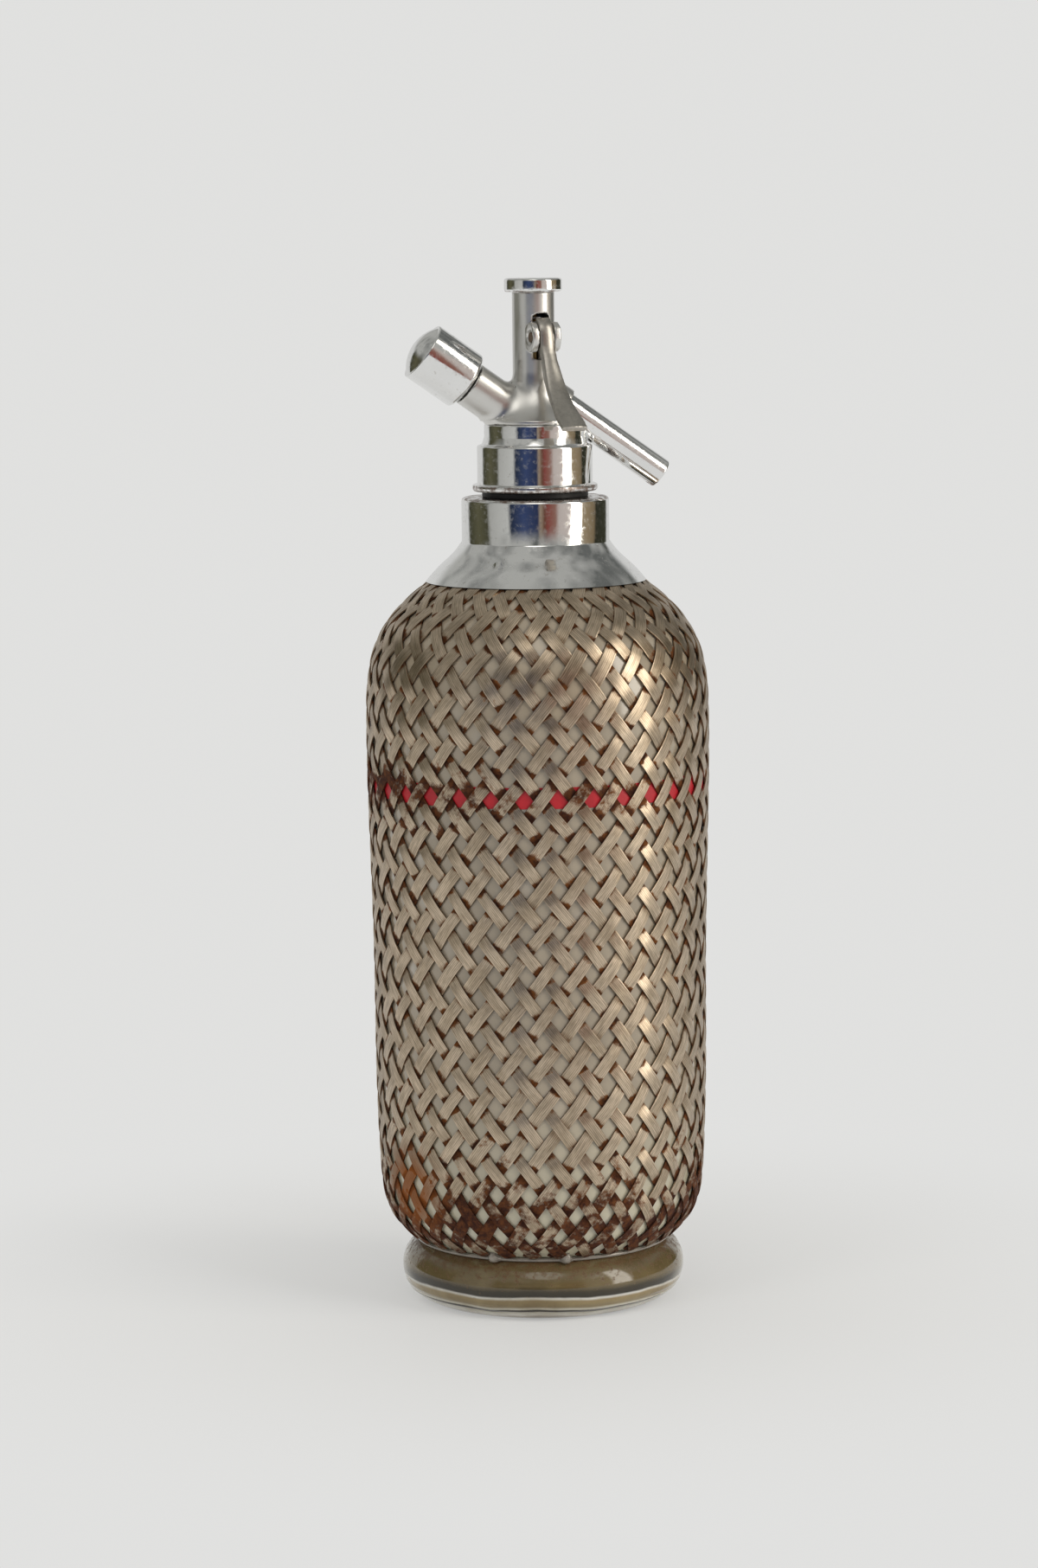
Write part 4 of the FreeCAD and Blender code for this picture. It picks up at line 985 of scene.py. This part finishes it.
class SIPHON_OT_plated(bpy.types.Operator):
    """Mirror plated pieces: collar, neck cap, column cap, spout and inlet cap"""

    bl_idname = "siphon.plated"
    bl_label = "Plated pieces"

    def execute(self, context):
        collar_edge = (COLLAR_TOP_Z - 1.4, COLLAR_TOP_Z - 0.5, COLLAR_TOP_Z + 0.2, COLLAR_TOP_Z + 0.9)
        lip = (LIP_BOTTOM_Z - 0.4, LIP_BOTTOM_Z + 0.2, LIP_TOP_Z - 0.4, LIP_TOP_Z + 0.6)
        under_cap = (COLUMN_TOP_Z - 0.4, COLUMN_TOP_Z - 0.1, COLUMN_TOP_Z + 0.4, COLUMN_TOP_Z + 0.9)
        mirror = chrome_finish("mirror plating", (0.86, 0.86, 0.85), roughness=0.05, dulling=0.3,
                               pit_scale=700.0, pit_dark=(0.6, 0.57, 0.52), wave=0.06,
                               tarnish=(collar_edge, lip, under_cap))
        collar = lathe_piece("shoulder_collar_shell", self.collar_outline(), "bottle", 192)
        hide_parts("shoulder_collar")
        neck = lathe_piece("neck_cap_shell", self.neck_cap_outline(), "head", 192)
        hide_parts("neck_cap")
        top_cap = lathe_piece("column_cap_disc", self.column_cap_outline(), "head", closed=False)
        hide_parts("column_cap")
        spout = lathe_piece("spout_pipe", self.spout_outline(), "head", 96, SPOUT_AXIS, SPOUT_AXIS_Z)
        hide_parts("spout_tube")
        inlet = lathe_piece("inlet_cap_shell", self.inlet_cap_outline(), "inlet_cap",
                            axis=INLET_AXIS, axis_z=ARM_AXIS_Z, closed=False)
        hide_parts("inlet_cap")
        for piece in (collar, neck, spout, inlet):
            piece.data.materials.append(mirror)
        top_cap.data.materials.append(mirror)
        return {"FINISHED"}

    def collar_outline(self):
        """Flare from the shoulder up to the neck, a rounded top edge, and the inside back down."""
        flare = smooth_through([COLLAR_RIM, (29.3, 224.3), (25.0, 228.3), (COLLAR_WAIST_R, 231.8)], 40)
        inner_r = COLLAR_WAIST_R - COLLAR_WALL
        under_top = COLLAR_TOP_Z - COLLAR_WALL
        top = rounded([(*flare[-1], 0), (COLLAR_WAIST_R, COLLAR_TOP_Z, 1.2),
                       (NECK_HOLE_R, COLLAR_TOP_Z, 0.3), (NECK_HOLE_R, under_top, 0)], 10)
        inner = smooth_through([(inner_r, under_top), (inner_r, 231.6), (24.1, 227.6), (28.4, 223.5),
                                (32.5, 220.4)], 30)
        return np.concatenate([flare, top[1:], inner])

    def neck_cap_outline(self):
        """Beaded lip, cylinder, step, and the plate under the column with the shank's hole."""
        return rounded([
            (NECK_HOLE_R, LIP_BOTTOM_Z, 0), (LIP_R, LIP_BOTTOM_Z, 1.05), (LIP_R, LIP_TOP_Z, 1.05),
            (NECK_CAP_R, LIP_TOP_Z, 0.3), (NECK_CAP_R, 260.7, 1.0), (16.0, 260.7, 0.8),
            (NECK_CAP_TOP_R, 263.2, 1.2), (NECK_CAP_TOP_R, NECK_CAP_TOP_Z, 0.5),
            (SHANK_R, NECK_CAP_TOP_Z, 0), (SHANK_R, NECK_CAP_PLATE_Z, 0),
            (NECK_HOLE_R, NECK_CAP_PLATE_Z, 0), (NECK_HOLE_R, LIP_BOTTOM_Z, 0),
        ], 8)[:-1]

    def column_cap_outline(self):
        """Disc with rounded edges on a spigot that fills the column's bore."""
        spigot_z = COLUMN_TOP_Z - 3.0
        return rounded([
            (0, COLUMN_CAP_TOP_Z, 0), (COLUMN_CAP_R, COLUMN_CAP_TOP_Z, 0.8),
            (COLUMN_CAP_R, COLUMN_TOP_Z, 0.8), (COLUMN_BORE_R, COLUMN_TOP_Z, 0),
            (COLUMN_BORE_R, spigot_z, 0), (0, spigot_z, 0),
        ], 8)

    def spout_outline(self):
        """Pipe wall from its root in the socket to the rounded end."""
        root, end, edge = 7.0, 48.0, 0.55
        return rounded([
            (SPOUT_BORE_R, root, 0), (SPOUT_R, root, 0), (SPOUT_R, end, edge), (SPOUT_BORE_R, end, edge),
            (SPOUT_BORE_R, root, 0),
        ])[:-1]

    def inlet_cap_outline(self):
        """Screw cap, its bore first, then the skirt and the dome, an arc over the shoulder's rise."""
        skirt, bore_end, shoulder = 25.6, 40.4, 41.9
        dome_r, dome_rise = 8.2, 3.1
        sphere_r = (dome_r ** 2 + dome_rise ** 2) / (2 * dome_rise)
        swing = np.linspace(math.asin(dome_r / sphere_r), 0, 16)
        dome = np.stack([sphere_r * np.sin(swing),
                         shoulder + dome_rise - sphere_r * (1 - np.cos(swing))], -1)
        shell = rounded([
            (0, bore_end, 0), (INLET_CAP_BORE_R, bore_end, 0), (INLET_CAP_BORE_R, skirt, 0.3),
            (INLET_CAP_R, skirt, 0.9), (INLET_CAP_R, shoulder, 0.7), (*dome[0], 0),
        ], 8)[:-1]
        return np.concatenate([shell, dome])


class SIPHON_OT_casting(bpy.types.Operator):
    """Head casting and lever: cast, polished and worn"""

    bl_idname = "siphon.casting"
    bl_label = "Casting and lever"

    def execute(self, context):
        worn = chrome_finish("worn plating", (0.70, 0.69, 0.66), roughness=0.3, dulling=0.06,
                             pit_scale=420.0, pit_dark=(0.86, 0.83, 0.78), wave=0.02)
        casting = cast_copy("head_casting", "column_casting", "head", voxel=0.36, rounds=3,
                            skin=casting_skin)
        casting.data.materials.append(worn)
        lever = cast_copy("lever", "squeeze_lever", "lever", voxel=0.24, rounds=14)
        crown_lever(lever.data)
        lever.data.materials.append(finish_lever())
        return {"FINISHED"}


class SIPHON_OT_works(bpy.types.Operator):
    """Finishes of the pieces inside, which stay as the CAD nodes, and the valve spring"""

    bl_idname = "siphon.works"
    bl_label = "Inner pieces"

    def execute(self, context):
        worn = finish_plain("worn pin", (0.17, 0.115, 0.075), roughness=0.5, metallic=0.7)
        rubber = bpy.data.materials.get("black rubber")
        by_slot = {
            "brass": finish_plain("turned brass", (0.36, 0.26, 0.12), roughness=0.42, metallic=1.0),
            "steel": finish_plain("bright steel", (0.55, 0.55, 0.56), roughness=0.28, metallic=1.0),
            "rubber": rubber or finish_plain("black rubber", RUBBER, roughness=0.55),
            "tin_tube": finish_plain("dull tin", (0.5, 0.5, 0.48), roughness=0.45, metallic=0.9),
            "cement": finish_plain("neck cement", (0.62, 0.6, 0.54), roughness=0.9),
        }
        self.spring(by_slot["steel"])
        for part in frame["record"]["subparts"]:
            node = part["node"]
            slot = part["material_slot"]
            if slot in by_slot and node not in ("neck_seal", "valve_spring"):
                mesh = NODES[node].data
                mesh.materials.clear()
                mesh.materials.append(worn if node == "lever_pin" else by_slot[slot])
        return {"FINISHED"}

    def spring(self, steel):
        """Valve spring: a round wire carried along a helix, its centre line at the mean radius times
        cosine and sine while it rises evenly, its ends drawn to a point."""
        low, high = (np.array(corner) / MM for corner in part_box("valve_spring"))
        t = np.linspace(0, 1, 24 * SPRING_TURNS + 1)
        t = np.concatenate([[0.0], t, [1.0]])[:, None]
        thick = np.full(t.shape, SPRING_WIRE_R)
        thick[[0, -1]] = 0.0
        swing = full_turn(10)
        r = high[0] - SPRING_WIRE_R + thick * np.cos(swing)
        climb = (high[2] - low[2] - 2 * SPRING_WIRE_R) * t
        z = low[2] + SPRING_WIRE_R + climb + thick * np.sin(swing)
        verts = turned(r, z, 2 * np.pi * SPRING_TURNS * t)
        piece = put_mesh("valve_spring_coil", verts, grid_faces(len(t), len(swing)), "head")
        piece.data.materials.append(steel)
        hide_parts("valve_spring")
        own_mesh(piece)


class SIPHON_OT_studio(bpy.types.Operator):
    """Pale floor, soft lamps, pale world with darker bands for the metal, and the camera"""

    bl_idname = "siphon.studio"
    bl_label = "Studio and camera"

    def execute(self, context):
        pale = chosen("backdrop")
        self.floor(pale)
        self.world(pale)
        self.lamps()
        self.camera(context)
        context.scene.view_settings.view_transform = "Standard"
        return {"FINISHED"}

    def floor(self, pale):
        """Round floor that fades to the backdrop's own colour away from the object."""
        turn = full_turn(64)
        mesh = bpy.data.meshes.new("studio_floor")
        mesh.from_pydata(turned(3.0, 0.0, turn).tolist(), [], [list(range(len(turn)))])
        floor = put_object("studio_floor", mesh)
        material, w = new_finish("pale floor")
        w.shade(Base_Color=tuple(min(1.0, c * 1.05) for c in pale), Roughness=0.6)
        glow = w.add("ShaderNodeEmission", Color=pale + (1.0,))
        out = w.add("ShaderNodeVectorMath", operation="LENGTH")
        w.feed(out.inputs[0], w.place())
        fade = w.scaled(out.outputs["Value"], 0.06, 0.26, 0.5, 1.0, smooth=True)
        w.surface("Material Output", fade, w.shader, glow)
        mesh.materials.append(material)

    def world(self, pale):
        """Pale for the camera; for light and reflections a pale room with darker bands behind the
        camera, set by the direction's turn about Z, under an uneven ceiling, with a window and a
        skylight."""
        world = bpy.data.worlds.new("studio world")
        bpy.context.scene.world = world
        world.use_nodes = True
        w = Wiring(world.node_tree)
        w.tree.nodes.clear()
        aim = w.place("Generated")
        up = w.axis(aim, "Z")
        turn = w.math("ARCTAN2", w.axis(aim, "X"), w.product(w.axis(aim, "Y"), -1.0))
        turn = w.scaled(turn, -math.pi, math.pi)
        bands = w.ramp(turn, [
            (0.0, PALE_ROOM), (0.10, PALE_ROOM), (0.115, (0.05, 0.05, 0.03)), (0.18, (0.10, 0.095, 0.055)),
            (0.235, (0.06, 0.058, 0.035)), (0.25, (0.40, 0.40, 0.38)), (0.34, (0.50, 0.50, 0.48)),
            (0.352, (0.02, 0.028, 0.05)), (0.41, (0.04, 0.06, 0.14)), (0.472, (0.025, 0.035, 0.08)),
            (0.482, (0.33, 0.26, 0.19)), (0.50, (0.13, 0.06, 0.04)), (0.515, (0.22, 0.06, 0.05)),
            (0.55, (0.26, 0.14, 0.11)), (0.565, (0.5, 0.44, 0.41)), (0.62, (0.55, 0.48, 0.44)),
            (0.685, (0.3, 0.23, 0.14)), (0.752, (0.2, 0.15, 0.09)), (0.765, (0.03, 0.03, 0.02)),
            (0.855, (0.04, 0.04, 0.025)), (0.872, PALE_ROOM), (1.0, PALE_ROOM),
        ])
        ceiling = w.ramp(w.noise(2.2, 2.0, 0.5, aim),
                         [(0.36, (0.13, 0.135, 0.13)), (0.56, (0.42, 0.42, 0.40))])
        room = w.mix(w.scaled(up, 0.3, 0.5, smooth=True), bands, ceiling)
        # The window is a tall strip between two turns and two heights, with soft edges
        beside = w.product(w.scaled(turn, 0.618, 0.632, smooth=True),
                           w.scaled(turn, 0.682, 0.668, smooth=True))
        upright = w.product(w.scaled(up, -0.4, -0.25, smooth=True),
                            w.scaled(up, 0.72, 0.6, smooth=True))
        room = w.mix(w.product(beside, upright), room, WINDOW_LIGHT)
        toward = w.add("ShaderNodeVectorMath", operation="DOT_PRODUCT")
        w.feed(toward.inputs[0], aim)
        w.feed(toward.inputs[1], SKYLIGHT_AIM)
        room = w.mix(w.scaled(toward.outputs["Value"], 0.955, 0.985, smooth=True), room, SKYLIGHT)
        light = w.add("ShaderNodeBackground")
        w.feed(light.inputs["Color"], room)
        seen = w.add("ShaderNodeBackground", Color=pale + (1.0,))
        path = w.add("ShaderNodeLightPath")
        clear = w.math("MAXIMUM", path.outputs["Is Camera Ray"], path.outputs["Is Transmission Ray"])
        w.add("ShaderNodeOutputWorld", name="World Output")
        w.surface("World Output", clear, light, seen)

    def lamps(self):
        """Soft lamps to the right, to the left and overhead, which the metal doesn't show."""
        for name, place, size, radiance in (
            ("key_lamp", (0.75, -1.15, 0.85), 0.4, 13.0),
            ("fill_lamp", (-1.1, -0.8, 0.75), 0.6, 4.0),
            ("top_lamp", (0.0, 0.2, 1.5), 2.2, 0.5),
        ):
            lamp = bpy.data.lights.new(name, "AREA")
            lamp.energy = radiance * math.pi * size ** 2
            lamp.size = size
            holder = put_object(name, lamp)
            holder.visible_glossy = False
            aim = Vector((0, 0, 0.17)) - Vector(place)
            turn = aim.to_track_quat("-Z", "Y").to_matrix().to_4x4()
            holder.matrix_world = Matrix.Translation(place) @ turn

    def camera(self, context):
        """Camera of the fitted view: forward leans down by the pitch and left by the yaw."""
        view = context.scene.siphon_camera
        lens = bpy.data.cameras.new("photo_camera")
        lens.sensor_fit = "VERTICAL"
        lens.sensor_height = 36.0
        lens.lens = view.focal_px / FRAME_HEIGHT_PX * lens.sensor_height
        lens.clip_end = 50.0
        camera = put_object("photo_camera", lens)
        a = view.azimuth
        place = Vector((view.distance * math.sin(a), -view.distance * math.cos(a), view.height))
        heading = a + view.yaw
        ahead = Vector((-math.sin(heading), math.cos(heading), -math.tan(view.pitch))).normalized()
        turn = ahead.to_track_quat("-Z", "Y").to_matrix().to_4x4()
        camera.matrix_world = Matrix.Translation(place) @ turn @ Matrix.Rotation(-view.roll, 4, "Z")
        context.scene.camera = camera


class SIPHON_PT_panel(bpy.types.Panel):
    """Lists the sizes, colours and steps"""

    bl_idname = "SIPHON_PT_panel"
    bl_label = "Siphon"
    bl_space_type = "VIEW_3D"
    bl_region_type = "UI"
    bl_category = "Siphon"

    def draw(self, context):
        for group in (context.scene.siphon_weave, context.scene.siphon_colours, context.scene.siphon_camera):
            column = self.layout.column()
            for name in group.__annotations__:
                column.prop(group, name)
        for step in STEPS:
            self.layout.operator(step.bl_idname)


GROUPS = {"siphon_weave": SiphonWeave, "siphon_colours": SiphonColours, "siphon_camera": SiphonCamera}
STEPS = (SIPHON_OT_studio, SIPHON_OT_glass, SIPHON_OT_sleeve, SIPHON_OT_trim, SIPHON_OT_plated,
         SIPHON_OT_casting, SIPHON_OT_works)


def register():
    for name, group in GROUPS.items():
        bpy.utils.register_class(group)
        setattr(bpy.types.Scene, name, bpy.props.PointerProperty(type=group))
    for step in STEPS:
        bpy.utils.register_class(step)
    bpy.utils.register_class(SIPHON_PT_panel)


def unregister():
    bpy.utils.unregister_class(SIPHON_PT_panel)
    for step in reversed(STEPS):
        bpy.utils.unregister_class(step)
    for name, group in GROUPS.items():
        delattr(bpy.types.Scene, name)
        bpy.utils.unregister_class(group)


def main():
    """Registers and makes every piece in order."""
    register()
    bpy.ops.siphon.studio()
    bpy.ops.siphon.glass()
    for lean in (1, -1):
        for half in (0, 1):
            bpy.ops.siphon.sleeve(lean=lean, half=half)
    bpy.ops.siphon.trim()
    bpy.ops.siphon.plated()
    bpy.ops.siphon.casting()
    bpy.ops.siphon.works()


if __name__ == "__main__":
    main()
